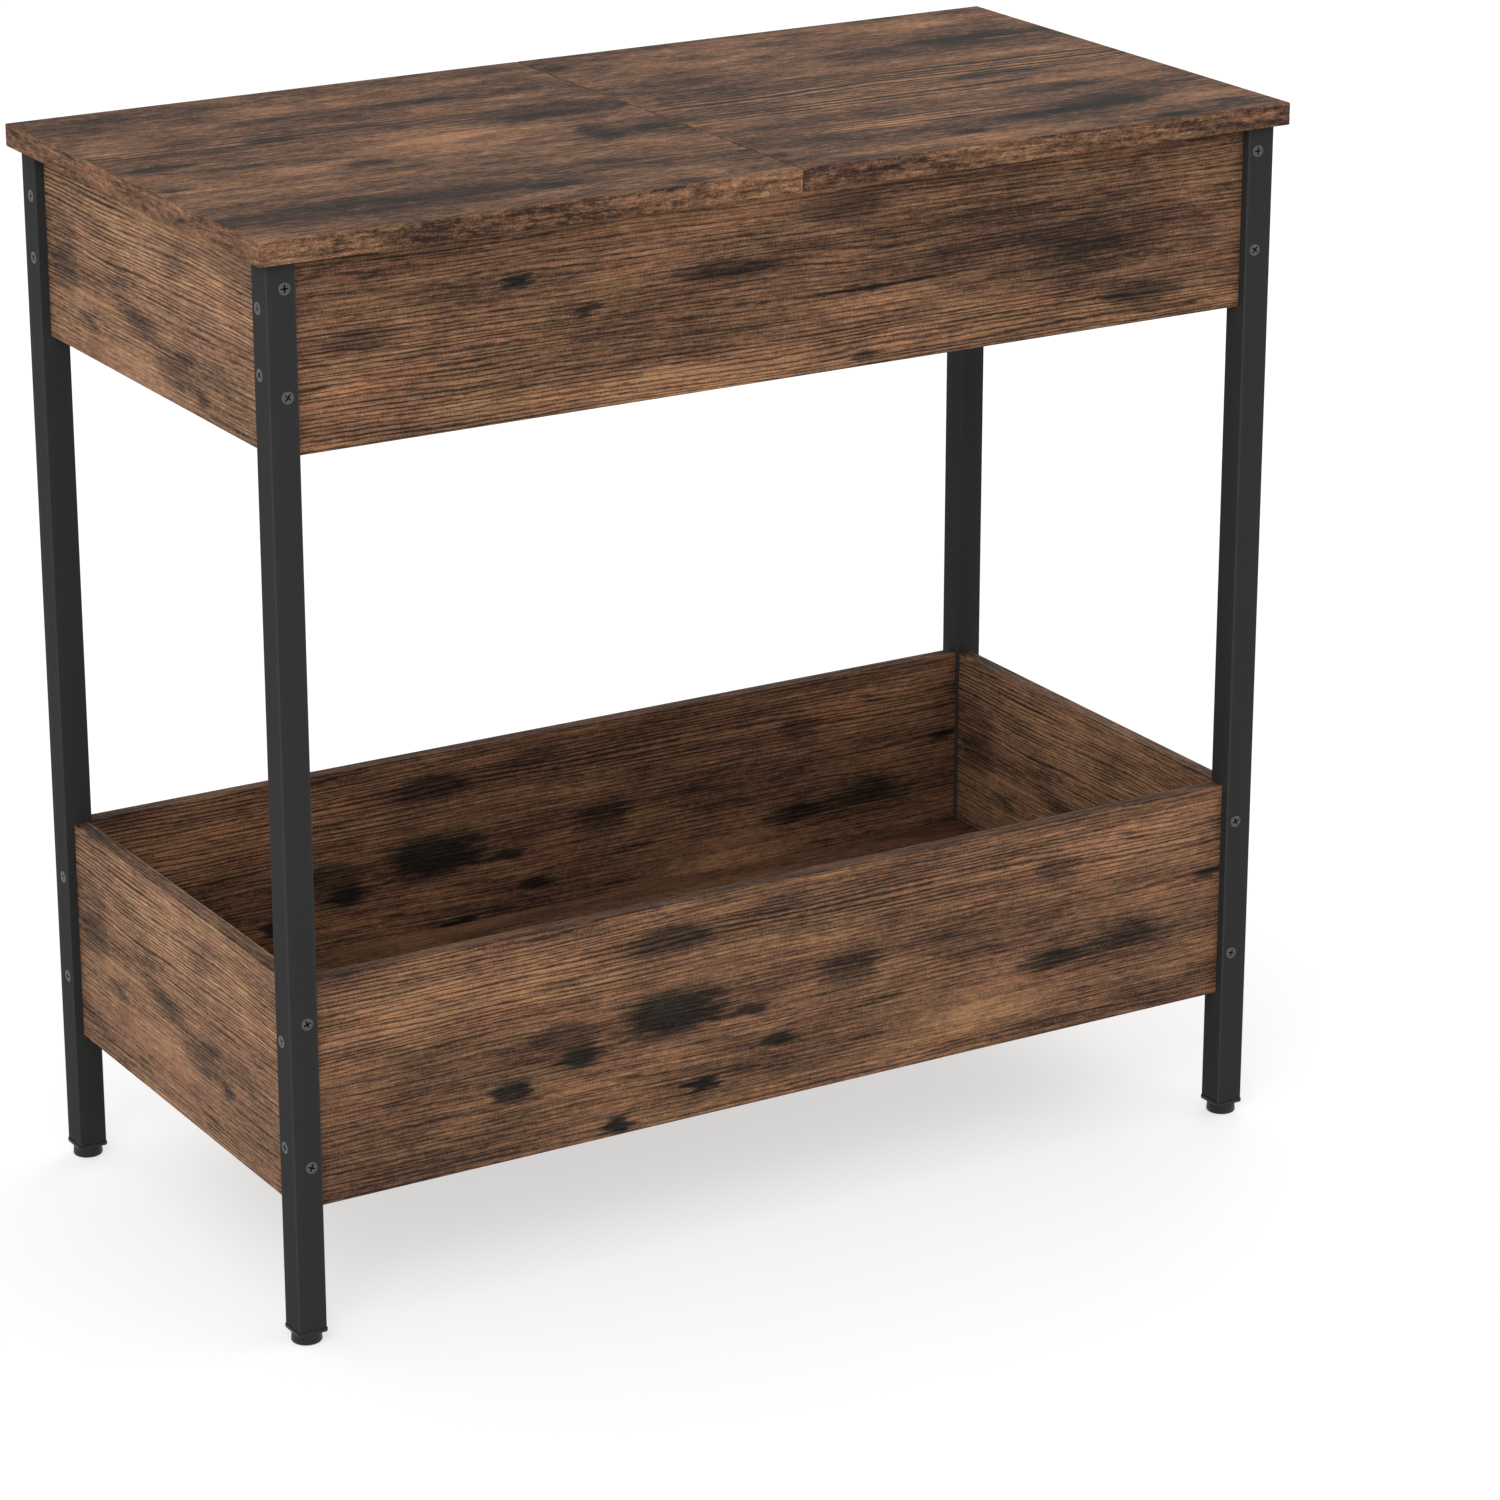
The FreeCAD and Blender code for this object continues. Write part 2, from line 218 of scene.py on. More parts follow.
def activate(*shapes: Shape) -> None:
    """Selects these objects alone and makes the last one active.

    Args:
        *shapes: The objects.
    """
    bpy.ops.object.select_all(action="DESELECT")
    for shape in shapes:
        shape.select_set(True)
    bpy.context.view_layer.objects.active = shapes[-1]


def mode(name: str) -> None:
    """Changes to object or edit mode."""
    bpy.ops.object.mode_set(mode=name)


def removed(*shapes: Shape) -> None:
    """Deletes these objects."""
    activate(*shapes)
    bpy.ops.object.delete()


def box_mm(node: str) -> tuple[Vector, Vector]:
    """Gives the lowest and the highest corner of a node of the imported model, in millimetres."""
    low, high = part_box(node)
    return low / MM, high / MM


def middle_of(node: str) -> Vector:
    """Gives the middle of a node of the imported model, in metres."""
    low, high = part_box(node)
    return (low + high) / 2


def apply_place() -> None:
    """Works the selected object's place, turn and scale into its mesh."""
    bpy.ops.object.transform_apply(location=True, rotation=True, scale=True)


def turned(outline: list[tuple[float, float]], sides: int, turn_degrees: float = 0.0) -> Shape:
    """Models a closed turned piece round Z, ring by ring, from one end face to the other.

    Args:
        outline: Radius and height of each ring, in millimetres. It may turn back to line a bore.
        sides: Number of points in a ring.
        turn_degrees: How far the rings are turned about Z.

    Returns:
        The piece.
    """
    radius, level = outline[0]
    bpy.ops.object.select_all(action="DESELECT")
    bpy.ops.mesh.primitive_circle_add(
        vertices=sides,
        radius=radius * MM,
        fill_type="NGON",
        location=(0, 0, level * MM),
        rotation=(0, 0, math.radians(turn_degrees)),
    )
    apply_place()
    shape = bpy.context.object
    mode("EDIT")
    bpy.ops.mesh.select_all(action="SELECT")
    for (radius, level), (next_radius, next_level) in zip(outline, outline[1:]):
        rise = (next_level - level) * MM
        bpy.ops.mesh.extrude_region_move(TRANSFORM_OT_translate={"value": (0, 0, rise)})
        share = next_radius / radius
        bpy.ops.transform.resize(value=(share, share, 1), center_override=(0, 0, next_level * MM))
    bpy.ops.mesh.select_all(action="SELECT")
    bpy.ops.mesh.normals_make_consistent(inside=False)
    mode("OBJECT")
    return shape


def bar(low: Point | Vector, high: Point | Vector) -> Shape:
    """Models a bar between two opposite corners.

    Args:
        low: Lowest corner, in millimetres.
        high: Highest corner, in millimetres.

    Returns:
        The bar.
    """
    middle = (Vector(low) + Vector(high)) * MM / 2
    bpy.ops.object.select_all(action="DESELECT")
    bpy.ops.mesh.primitive_cube_add(size=1, location=middle, scale=(Vector(high) - Vector(low)) * MM)
    apply_place()
    return bpy.context.object


def pick(shape: Shape, kind: str, wanted: Callable[..., bool]) -> None:
    """Enters edit mode with only those edges or faces selected that pass a test.

    Args:
        shape: The piece.
        kind: EDGE, which is tested by its two ends in metres, or FACE, which is tested by its normal.
        wanted: The test.
    """
    activate(shape)
    mode("EDIT")
    bpy.ops.mesh.select_mode(type=kind)
    bpy.ops.mesh.select_all(action="DESELECT")
    mode("OBJECT")
    points = shape.data.vertices
    if kind == "EDGE":
        for edge in shape.data.edges:
            edge.select = wanted(*(points[end].co for end in edge.vertices))
    else:
        for face in shape.data.polygons:
            face.select = wanted(face.normal)
    mode("EDIT")


def upright(start: Vector, end: Vector) -> bool:
    """True for an edge that stands upright."""
    return abs(start.x - end.x) + abs(start.y - end.y) < TINY


def lying_at(level: float) -> Callable[[Vector, Vector], bool]:
    """Makes the test for edges that lie level at a height, in metres."""
    return lambda start, end: max(abs(start.z - level), abs(end.z - level)) < TINY


def rounded(shape: Shape, wanted: Callable[[Vector, Vector], bool], width_mm: float, segments: int) -> Shape:
    """Rounds the edges of a piece that pass a test.

    Args:
        shape: The piece.
        wanted: Test of an edge by its two ends, in metres.
        width_mm: Radius of the rounding.
        segments: Number of strips that the rounding gets.

    Returns:
        The same piece.
    """
    pick(shape, "EDGE", wanted)
    bpy.ops.mesh.bevel(offset=width_mm * MM, segments=segments, affect="EDGES", clamp_overlap=True)
    mode("OBJECT")
    return shape


def carved(shape: Shape, tool: Shape, operation: str = "DIFFERENCE") -> Shape:
    """Cuts a piece with another one, or joins the two into one skin, and removes the other.

    Args:
        shape: The piece that stays.
        tool: The piece that is used up.
        operation: Blender's name of the Boolean operation.

    Returns:
        The same piece.
    """
    activate(shape)
    bpy.ops.object.modifier_add(type="BOOLEAN")
    step = shape.modifiers[-1]
    step.operation = operation
    step.solver = "EXACT"
    step.object = tool
    bpy.ops.object.modifier_apply(modifier=step.name)
    removed(tool)
    return shape


def copied(model: Shape, place: Vector, direction: Vector = UP, spin: float = 0.0) -> Shape:
    """Copies a piece that was modelled along Z to its place, with a mesh of its own.

    Args:
        model: The piece, modelled at the origin.
        place: Where its origin goes, in metres.
        direction: Where its Z axis goes.
        spin: How far the copy is turned about its own axis, in radians.

    Returns:
        The copy, with its place worked into its mesh.
    """
    activate(model)
    bpy.ops.object.duplicate(linked=False)
    copy = bpy.context.object
    turn = UP.rotation_difference(direction) @ Quaternion(UP, spin)
    copy.matrix_world = Matrix.LocRotScale(place, turn, None)
    apply_place()
    return copy


def laid(shape: Shape) -> Shape:
    """Lays a piece that was modelled along Z along X.

    Args:
        shape: The piece, which is used up.

    Returns:
        The lying piece.
    """
    lying = copied(shape, Vector(), Vector((1, 0, 0)))
    removed(shape)
    return lying


def joined(shapes: list[Shape]) -> Shape:
    """Joins pieces into one object.

    Args:
        shapes: The pieces.

    Returns:
        The object.
    """
    activate(*shapes)
    if len(shapes) > 1:
        bpy.ops.object.join()
    return bpy.context.object


def thread(radius: float, depth: float, pitch: float, start: float, turns: int) -> Shape:
    """Models the ridge of a screw thread round Z by sweeping a triangle.

    Args:
        radius: Outer radius, in millimetres.
        depth: Height of the ridge above its foot, in millimetres.
        pitch: Rise of one turn, in millimetres.
        start: Height of its lower end, in millimetres.
        turns: Number of turns.

    Returns:
        The ridge, closed at both ends.
    """
    bpy.ops.object.select_all(action="DESELECT")
    bpy.ops.mesh.primitive_circle_add(
        vertices=3,
        radius=MM,
        fill_type="NOTHING",
        rotation=(math.radians(90), math.radians(90), 0),
        location=((radius - depth / TRIANGLE_HEIGHT) * MM, 0, start * MM),
    )
    ridge = bpy.context.object
    bpy.ops.object.transform_apply(location=False, rotation=True, scale=True)
    ridge.scale = (depth / TRIANGLE_HEIGHT, 1, RIDGE_HALF_FOOT * pitch / TRIANGLE_HALF_SIDE)
    apply_place()
    bpy.ops.object.modifier_add(type="SCREW")
    sweep = ridge.modifiers[-1]
    sweep.axis = "Z"
    sweep.angle = math.radians(360)
    sweep.screw_offset = pitch * MM
    sweep.iterations = turns
    sweep.steps = RIDGE_STEPS
    sweep.render_steps = RIDGE_STEPS
    bpy.ops.object.modifier_apply(modifier=sweep.name)
    mode("EDIT")
    bpy.ops.mesh.select_all(action="SELECT")
    bpy.ops.mesh.fill_holes(sides=3)
    bpy.ops.mesh.normals_make_consistent(inside=False)
    mode("OBJECT")
    return ridge


@dataclass(frozen=True)
class Finish:
    """A material and the name of a material slot."""

    material: Material
    slot: str


def fitted(shape: Shape, name: str, finish: Finish, body: str, *nodes: str) -> None:
    """Names and dresses a finished piece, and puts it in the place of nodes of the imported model.

    Args:
        shape: The piece, in its place.
        name: Its name.
        finish: Its material and slot.
        body: The body that it moves with.
        *nodes: The nodes that it stands for.
    """
    shape.name = name
    shape.data.name = name
    shape.data.materials.clear()
    shape.data.materials.append(finish.material)
    activate(shape)
    bpy.ops.object.shade_smooth_by_angle(angle=math.radians(SMOOTH_DEGREES))
    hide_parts(*nodes)
    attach(shape, body)
    LOG.info("%s: %d faces", name, len(shape.data.polygons))


@dataclass(frozen=True)
class Pattern:
    """A noise stretched along the grain, with the size of its features and how finely it breaks up."""

    length_mm: float
    width_mm: float
    detail: float = 2.0
    roughness: float = 0.55

    def noise(self, tree: Tree, place: Socket, output: str = "Fac") -> Socket:
        """Adds the noise.

        Args:
            tree: Node tree of the material.
            place: The print's coordinates.
            output: Fac for one value or Color for three.

        Returns:
            Socket of the noise.
        """
        scale = (1 / self.length_mm, 1 / self.width_mm, 1 / self.width_mm)
        scaled = vectors(tree, "MULTIPLY", place, scale)
        inputs = {"Vector": scaled, "Scale": 1.0, "Detail": self.detail, "Roughness": self.roughness}
        return add_node(tree, "TexNoise", inputs).outputs[output]

    def wander(self, tree: Tree, place: Socket, across_mm: float, along_mm: float = 0.0) -> Socket:
        """Shifts places to and fro by the noise, so that what is drawn there wanders.

        Args:
            tree: Node tree of the material.
            place: The print's coordinates.
            across_mm: Reach of the shift down and through.
            along_mm: Reach of the shift along the grain.

        Returns:
            The shifted places.
        """
        reach = (along_mm, across_mm, across_mm)
        back = tuple(-0.5 * way for way in reach)
        moved = vectors(tree, "MULTIPLY_ADD", self.noise(tree, place, "Color"), reach, back)
        return vectors(tree, "ADD", place, moved)


@dataclass(frozen=True)
class Mark:
    """One stain, wash or ridged patch of a print: an ellipse, in millimetres.

    Along and down are measured from the board's upper left corner to its middle.
    """

    along: float
    down: float
    half_length: float
    half_height: float
    depth: float = 1.0


@dataclass(frozen=True)
class Tones:
    """Browns of a wood print, from its dark pores to its lit ridges, and the cold filter of its stains."""

    pore: str = "#2a201a"
    dark: str = "#493328"
    middle: str = "#6b4e3a"
    light: str = "#8a644a"
    ridge: str = "#ac7f59"
    stain: str = "#758b9a"

    def ramp(self, tree: Tree, value: Socket) -> Socket:
        """Turns values from 0 to 1 to the browns.

        Args:
            tree: Node tree of the material.
            value: Socket of the values.

        Returns:
            Socket of the brown.
        """
        node = add_node(tree, "ValToRGB", {"Fac": value})
        browns = (self.pore, self.dark, self.middle, self.light, self.ridge)
        stops = node.color_ramp.elements
        while len(stops) < len(browns):
            stops.new(0.5)
        for stop, at, brown in zip(stops, (0.0, 0.24, 0.5, 0.76, 1.0), browns):
            stop.position = at
            stop.color = linear(brown)
        return node.outputs[0]


@dataclass(frozen=True)
class Figure:
    """What a wood print draws: how much each pattern counts, and the marks that have their own place.

    Stains are dark, washes are soft lighter or darker areas and ridges are areas of strong saw lines. The
    level is the print's mean tone, rim and end are how much lighter the edge bands along and across the
    grain are, and rim fibre is how much more grain the bands along have.
    """

    fibre: float = 1.1
    dash: float = 0.7
    grit: float = 0.7
    tick: float = 0.3
    tone: float = 1.1
    cloud: float = 0.9
    mottle: float = 0.6
    lines: float = 0.62
    line_depth: float = 0.4
    line_gap_mm: float = 2.3
    level: float = 0.53
    rim: float = -0.13
    rim_fibre: float = 0.0
    end: float = 0.0
    stains: tuple[Mark, ...] = ()
    washes: tuple[Mark, ...] = ()
    ridges: tuple[Mark, ...] = ()


def summed(tree: Tree, start: float, shares: list[tuple]) -> Socket | float:
    """Adds up patterns, each times its share.

    Args:
        tree: Node tree of the material.
        start: Value that the sum starts from.
        shares: Pairs of a socket and the share that it counts with.

    Returns:
        The sum's socket, or the start if there is nothing to add.
    """
    total = start
    for pattern, share in shares:
        total = maths(tree, "MULTIPLY_ADD", pattern, share, total)
    return total


def marked(tree: Tree, place: Socket, marks: tuple[Mark, ...], full: float, end: float) -> Socket | float:
    """Draws marks, each with its depth in the middle and nothing past its edge, and adds them up.

    Args:
        tree: Node tree of the material.
        place: The print's coordinates.
        marks: The marks, in any order.
        full: Where the fading starts, as a share of a mark's half size.
        end: Where it ends.

    Returns:
        The sum's socket, or 0 without marks.
    """
    strengths = []
    for mark in marks:
        share = (1 / mark.half_length, 1 / mark.half_height, 0.0)
        shift = (-mark.along / mark.half_length, -mark.down / mark.half_height, 0.0)
        reach = vectors(tree, "LENGTH", vectors(tree, "MULTIPLY_ADD", place, share, shift))
        inputs = {"Value": reach, "From Min": full, "From Max": end, "To Min": mark.depth, "To Max": 0.0}
        faded = add_node(tree, "MapRange", inputs, interpolation_type="SMOOTHSTEP").outputs[0]
        strengths.append((faded, 1.0))
    return summed(tree, 0.0, strengths)


@dataclass(frozen=True)
class PrintedMelamine:
    """Particle board faced with a printed melamine paper, pressed against an embossed plate.

    The print gives the eye weathered, saw-cut boards: browns that drift along the grain, dark stains and
    knots. The pressed resin gives it a matt surface with shallow furrows that follow the print.
    """

    name: str
    lay: Lay
    corner: Vector
    figure: Figure = Figure()
    tones: Tones = Tones()
    drift_mm: float = 0.0
    roughness: float = 0.8
    specular: float = 0.15
    bump_mm: float = 0.12
    bump_strength: float = 0.6
    facing_share: float = 0.6
    line_bend: float = 14.0
    line_full: float = 0.9
    line_gap: float = -0.25
    line_patches: float = 1.8
    tints: ClassVar[tuple] = ((Pattern(60.0, 12.0), 0.24), (Pattern(2.4, 0.8), 0.16))

    def _facing(self, tree: Tree, axis: int) -> Socket:
        """Tells the faces that look along one of the print's axes from the others.

        Args:
            tree: Node tree of the material.
            axis: 0 for along the grain, 1 for down the face, 2 for through the board.

        Returns:
            Socket of a mask: 1 on those faces and 0 elsewhere.
        """
        normal = add_node(tree, "TexCoord").outputs["Normal"]
        share = vectors(tree, "DOT_PRODUCT", normal, self.lay.value[axis])
        return maths(tree, "GREATER_THAN", maths(tree, "ABSOLUTE", share), self.facing_share)

    def _place(self, tree: Tree) -> Socket:
        """Adds the print's coordinates. On a board's ends the grain runs down the end, as on a glued band.

        Args:
            tree: Node tree of the material.

        Returns:
            Socket of the millimetres along the grain, down the face and through the board.
        """
        turn = Matrix(self.lay.value)
        inputs = {
            "Vector": add_node(tree, "TexCoord").outputs["Object"],
            "Scale": (1 / MM, 1 / MM, 1 / MM),
            "Rotation": turn.to_euler(),
            "Location": -(turn @ self.corner) / MM,
        }
        face = add_node(tree, "Mapping", inputs).outputs[0]
        axes = add_node(tree, "SeparateXYZ", {0: face}).outputs
        band = add_node(tree, "CombineXYZ", {0: axes[1], 1: axes[2], 2: axes[0]}).outputs[0]
        inputs = {0: self._facing(tree, 0), 4: face, 5: band}
        return add_node(tree, "Mix", inputs, data_type="VECTOR").outputs[1]

    def _saw_lines(self, tree: Tree, place: Socket, ridge: Socket | float) -> Socket:
        """Adds the dark saw lines: fine lines that bend together, come and go, and fill the ridges.

        Args:
            tree: Node tree of the material.
            place: The print's coordinates.
            ridge: Mask of the areas where the lines are strong.

        Returns:
            The lines' depth, from a little under 0 between them to 1 in the middle of a strong one.
        """
        uneven = Pattern(420.0, 7.0).wander(tree, place, across_mm=5.0)
        wavering = Pattern(12.0, 3.0, 3.0).wander(tree, uneven, across_mm=0.9)
        across = add_node(tree, "SeparateXYZ", {0: wavering}).outputs
        bend = Pattern(120.0, 26.0, 1.0).noise(tree, place)
        per_mm = 2 * math.pi / self.figure.line_gap_mm
        turns = summed(tree, 0.0, [(across[1], per_mm), (across[2], per_mm), (bend, self.line_bend)])
        wave = {"Value": maths(tree, "SINE", turns), "From Max": self.line_full, "To Min": self.line_gap}
        line = add_node(tree, "MapRange", wave).outputs[0]
        patch = Pattern(26.0, 4.0, 4.0, 0.65).noise(tree, place)
        start = self.figure.lines - self.line_patches / 2
        strength = summed(tree, start, [(patch, self.line_patches), (ridge, 1.0)])
        return maths(tree, "MULTIPLY", line, add_node(tree, "Clamp", {0: strength}).outputs[0])

    def _tinted(self, tree: Tree, place: Socket, colour: Socket) -> Socket:
        """Shifts the print's hue a little from patch to patch and from speck to speck.

        Args:
            tree: Node tree of the material.
            place: The print's coordinates.
            colour: Socket of the print's colour.

        Returns:
            Socket of the shifted colour.
        """
        for pattern, reach in self.tints:
            hue = pattern.noise(tree, place, "Color")
            tint = vectors(tree, "MULTIPLY_ADD", hue, (reach,) * 3, (1 - reach / 2,) * 3)
            colour = vectors(tree, "MULTIPLY", colour, tint)
        return colour

    def build(self) -> Material:
        """Builds the material.

        Returns:
            The printed board's material.
        """
        figure = self.figure
        material, tree = new_tree(self.name)
        board = self._place(tree)
        paper = vectors(tree, "ADD", board, (self.drift_mm, 0.0, 0.0))
        grain = Pattern(260.0, 42.0).wander(tree, paper, across_mm=4.0)
        streak = Pattern(9.0, 4.0).wander(tree, grain, across_mm=1.2)
        blot = Pattern(22.0, 2.4, 4.0, 0.62).wander(tree, board, across_mm=9.0, along_mm=46.0)
        stain = marked(tree, blot, figure.stains, full=0.5, end=1.3)
        wash = marked(tree, blot, figure.washes, full=0.1, end=1.3)
        ridge = marked(tree, blot, figure.ridges, full=0.4, end=1.2)

        fibre = Pattern(55.0, 1.8, 4.0, 0.7).noise(tree, streak)
        dash = Pattern(9.0, 0.8).noise(tree, streak)
        shares = [
            (fibre, figure.fibre),
            (dash, figure.dash),
            (Pattern(1.1, 0.55, 1.0).noise(tree, paper), figure.grit),
            (Pattern(0.8, 5.0, 1.0).noise(tree, paper), figure.tick),
            (Pattern(170.0, 40.0, 3.0).noise(tree, grain), figure.tone),
            (Pattern(36.0, 12.0, 6.0, 0.7).noise(tree, blot), figure.cloud),
            (Pattern(6.0, 2.6, 3.0, 0.65).noise(tree, paper), figure.mottle),
        ]
        start = figure.level - 0.5 * sum(share for _, share in shares)
        lines = self._saw_lines(tree, grain, ridge)
        on_rim = self._facing(tree, 1)
        rim_fibre = maths(tree, "MULTIPLY", on_rim, fibre)
        shares += [(on_rim, figure.rim - 0.5 * figure.rim_fibre), (rim_fibre, figure.rim_fibre)]
        shares += [(self._facing(tree, 0), figure.end)]
        shares += [(lines, -figure.line_depth), (wash, 1.0), (stain, -0.2)]
        brown = self._tinted(tree, paper, self.tones.ramp(tree, summed(tree, start, shares)))
        height = summed(tree, 0.0, [(fibre, 1.0), (dash, 0.5), (lines, -0.8)])
        surfaced(
            tree,
            {
                "Base Color": mixed(tree, stain, brown, self.tones.stain, blend_type="MULTIPLY"),
                "Roughness": self.roughness,
                "IOR": PLASTIC_IOR,
                "Specular IOR Level": self.specular,
                "Normal": bumped(tree, height, self.bump_strength, self.bump_mm),
            },
        )
        return material


@dataclass(frozen=True)
class PowderCoat:
    """Polyester powder baked on steel tube: near black, matt, faintly peeled, with a painted highlight: a
    lighter grey along its rounded edges.
    """

    name: str = "powder_coated_steel_black"
    colour: str = "#303030"
    # Painted highlight: the lighter grey that the rounded edges get, in place of the light that they catch.
    edge_highlight_colour: str = "#3d3d3d"
    edge_highlight_level: float = 0.5
    roughness: float = 0.7
    swing: float = 0.06
    specular: float = 0.05
    peel_mm: float = 0.9
    peel_strength: float = 0.25
    peel_depth_mm: float = 0.03

    def _edge_highlight_mask(self, tree: Tree) -> Socket:
        """Finds the tube's rounded edges, where the surface looks between two sides and not up or down, for
        the painted highlight.

        Args:
            tree: Node tree of the material.

        Returns:
            Socket of a mask: 1 along the middle of an edge and 0 on flat faces.
        """
        normal = add_node(tree, "TexCoord").outputs["Normal"]
        way = add_node(tree, "SeparateXYZ", {0: normal}).outputs
        both = maths(tree, "ABSOLUTE", maths(tree, "MULTIPLY", way[0], way[1]))
        level = maths(tree, "SUBTRACT", both, maths(tree, "ABSOLUTE", way[2]))
        return add_node(tree, "MapRange", {"Value": level, "From Max": self.edge_highlight_level}).outputs[0]

    def build(self) -> Material:
        """Builds the material.

        Returns:
            The powder coat's material.
        """
        material, tree = new_tree(self.name)
        peel = even_noise(tree, self.peel_mm, detail=2.0)
        surfaced(
            tree,
            {
                # Painted highlight: the rounded edges are mixed towards the lighter grey.
                "Base Color": mixed(tree, self._edge_highlight_mask(tree), self.colour, self.edge_highlight_colour),
                "Roughness": spread(tree, peel, self.roughness - self.swing, self.roughness + self.swing),
                "IOR": PLASTIC_IOR,
                "Specular IOR Level": self.specular,
                "Normal": bumped(tree, peel, self.peel_strength, self.peel_depth_mm),
            },
        )
        return material


@dataclass(frozen=True)
class PlatedSteel:
    """Steel fastener or pressed part whose zinc plating is a little clouded."""

    name: str
    colour: str
    cloud_colour: str
    roughness: float = 0.4
    swing: float = 0.1
    cloud_mm: float = 1.6

    def build(self) -> Material:
        """Builds the material.

        Returns:
            The plating's material.
        """
        material, tree = new_tree(self.name)
        cloud = even_noise(tree, self.cloud_mm, detail=4.0)
        surfaced(
            tree,
            {
                "Base Color": mixed(tree, cloud, self.colour, self.cloud_colour),
                "Metallic": 1.0,
                "Roughness": spread(tree, cloud, self.roughness - self.swing, self.roughness + self.swing),
            },
        )
        return material


@dataclass(frozen=True)
class MouldedPolyethylene:
    """Injection-moulded polyethylene: black, satin, with the fine spark texture of its mould."""

    name: str = "moulded_polyethylene_black"
    colour: str = "#1b1b1b"
    roughness: float = 0.48
    swing: float = 0.08
    specular: float = 0.3
    spark_mm: float = 0.4
    spark_strength: float = 0.3
    spark_depth_mm: float = 0.02

    def build(self) -> Material:
        """Builds the material.

        Returns:
            The plastic's material.
        """
        material, tree = new_tree(self.name)
        spark = even_noise(tree, self.spark_mm, detail=3.0)
        surfaced(
            tree,
            {
                "Base Color": linear(self.colour),
                "Roughness": spread(tree, spark, self.roughness - self.swing, self.roughness + self.swing),
                "IOR": PLASTIC_IOR,
                "Specular IOR Level": self.specular,
                "Normal": bumped(tree, spark, self.spark_strength, self.spark_depth_mm),
            },
        )
        return material


def dress_board(node: str, lay: Lay, figure: Figure, drift_mm: float, tones: Tones = Tones()) -> None:
    """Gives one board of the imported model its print, which starts at the board's upper left corner.

    Args:
        node: Name of the board's node.
        lay: How the print lies on it.
        figure: What the print draws.
        drift_mm: How far along the endless paper the print is taken from.
        tones: Its browns.
    """
    low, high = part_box(node)
    corner = Vector((low.x, low.y if lay is Lay.FRONT else high.y, high.z))
    finish = PrintedMelamine(f"printed_melamine_{node}", lay, corner, figure, tones, drift_mm).build()
    for slot in bpy.data.objects[node].material_slots:
        slot.material = finish
    LOG.info("%s dressed", node)


SIDE_STAINS = (
    Mark(23, 58, 17, 13, 0.42),
    Mark(166, 71, 14, 4, 0.54),
    Mark(154, 83, 26, 9, 0.36),
    Mark(186, 88, 7, 5, 0.48),
    Mark(90, 54, 15, 7, 0.3),
    Mark(116, 65, 22, 7, 0.36),
    Mark(201, 71, 16, 8, 0.3),
    Mark(157, 24, 15, 8, 0.3),
    Mark(64, 26, 18, 8, 0.24),
    Mark(107, 45, 4, 3, 0.48),
    Mark(49, 78, 11, 3, 0.48),
)
BIN_FRONT_STAINS = (
    Mark(206, 20, 30, 9, 0.8),
    Mark(208, 61, 34, 15),
    Mark(152, 74, 15, 7, 0.9),
    Mark(112, 85, 12, 6),
    Mark(225, 105, 11, 5),
    Mark(173, 118, 11, 6),
    Mark(316, 59, 21, 14, 0.6),
    Mark(273, 89, 13, 4, 0.9),
    Mark(256, 69, 10, 4, 0.7),
    Mark(340, 80, 13, 2, 0.9),
    Mark(446, 80, 23, 6, 0.8),
    Mark(494, 74, 23, 9, 0.6),
    Mark(549, 49, 13, 4, 0.9),
    Mark(143, 61, 26, 8, 0.5),
    Mark(449, 28, 15, 7, 0.5),
)
UPPER_FRONT_STAINS = (
    Mark(122, 27, 9, 4.5),
    Mark(160, 47, 7, 4, 0.7),
    Mark(241, 37, 32, 6, 0.6),
    Mark(308, 13, 26, 9, 0.6),
    Mark(327, 57, 45, 1.8),
    Mark(420, 50, 90, 14, 0.35),
    Mark(37, 45, 21, 8, 0.4),
    Mark(323, 93, 7, 3, 0.8),
    Mark(494, 83, 25, 7, 0.6),
)
LEFT_LID_STAINS = (
    Mark(200, 62, 28, 5, 0.8),
    Mark(100, 107, 15, 6, 0.8),
    Mark(24, 136, 23, 6, 0.9),
    Mark(12, 182, 11, 5, 0.9),
    Mark(118, 178, 19, 7, 0.6),
    Mark(254, 174, 11, 22, 0.9),
    Mark(282, 176, 17, 7, 0.8),
    Mark(256, 118, 46, 17, 0.45),
    Mark(60, 154, 19, 4, 0.5),
    Mark(176, 266, 17, 6, 0.6),
    Mark(240, 292, 9, 8, 0.7),
    Mark(80, 258, 115, 18, 0.5),
)
RIGHT_LID_STAINS = (
    Mark(8, 30, 11, 7, 0.9),
    Mark(120, 58, 9, 4, 0.9),
    Mark(256, 72, 52, 7, 0.7),
    Mark(208, 160, 36, 8, 0.6),
    Mark(216, 202, 30, 10, 0.7),
    Mark(216, 248, 36, 13, 0.9),
    Mark(172, 256, 23, 8, 0.8),
    Mark(118, 270, 12, 6),
    Mark(232, 292, 13, 4),
    Mark(276, 276, 15, 4, 0.7),
    Mark(4, 268, 10, 5, 0.8),
)
BIN_FRONT_WASHES = (
    Mark(70, 24, 110, 24, 0.22),
    Mark(250, 42, 60, 12, 0.12),
    Mark(390, 94, 70, 18, 0.26),
    Mark(330, 112, 60, 10, 0.12),
    Mark(520, 14, 60, 14, 0.1),
    Mark(60, 112, 80, 14, -0.2),
    Mark(495, 78, 80, 18, -0.2),
    Mark(440, 116, 90, 10, -0.16),
    Mark(300, 20, 90, 12, -0.12),
    Mark(130, 70, 60, 14, -0.12),
)
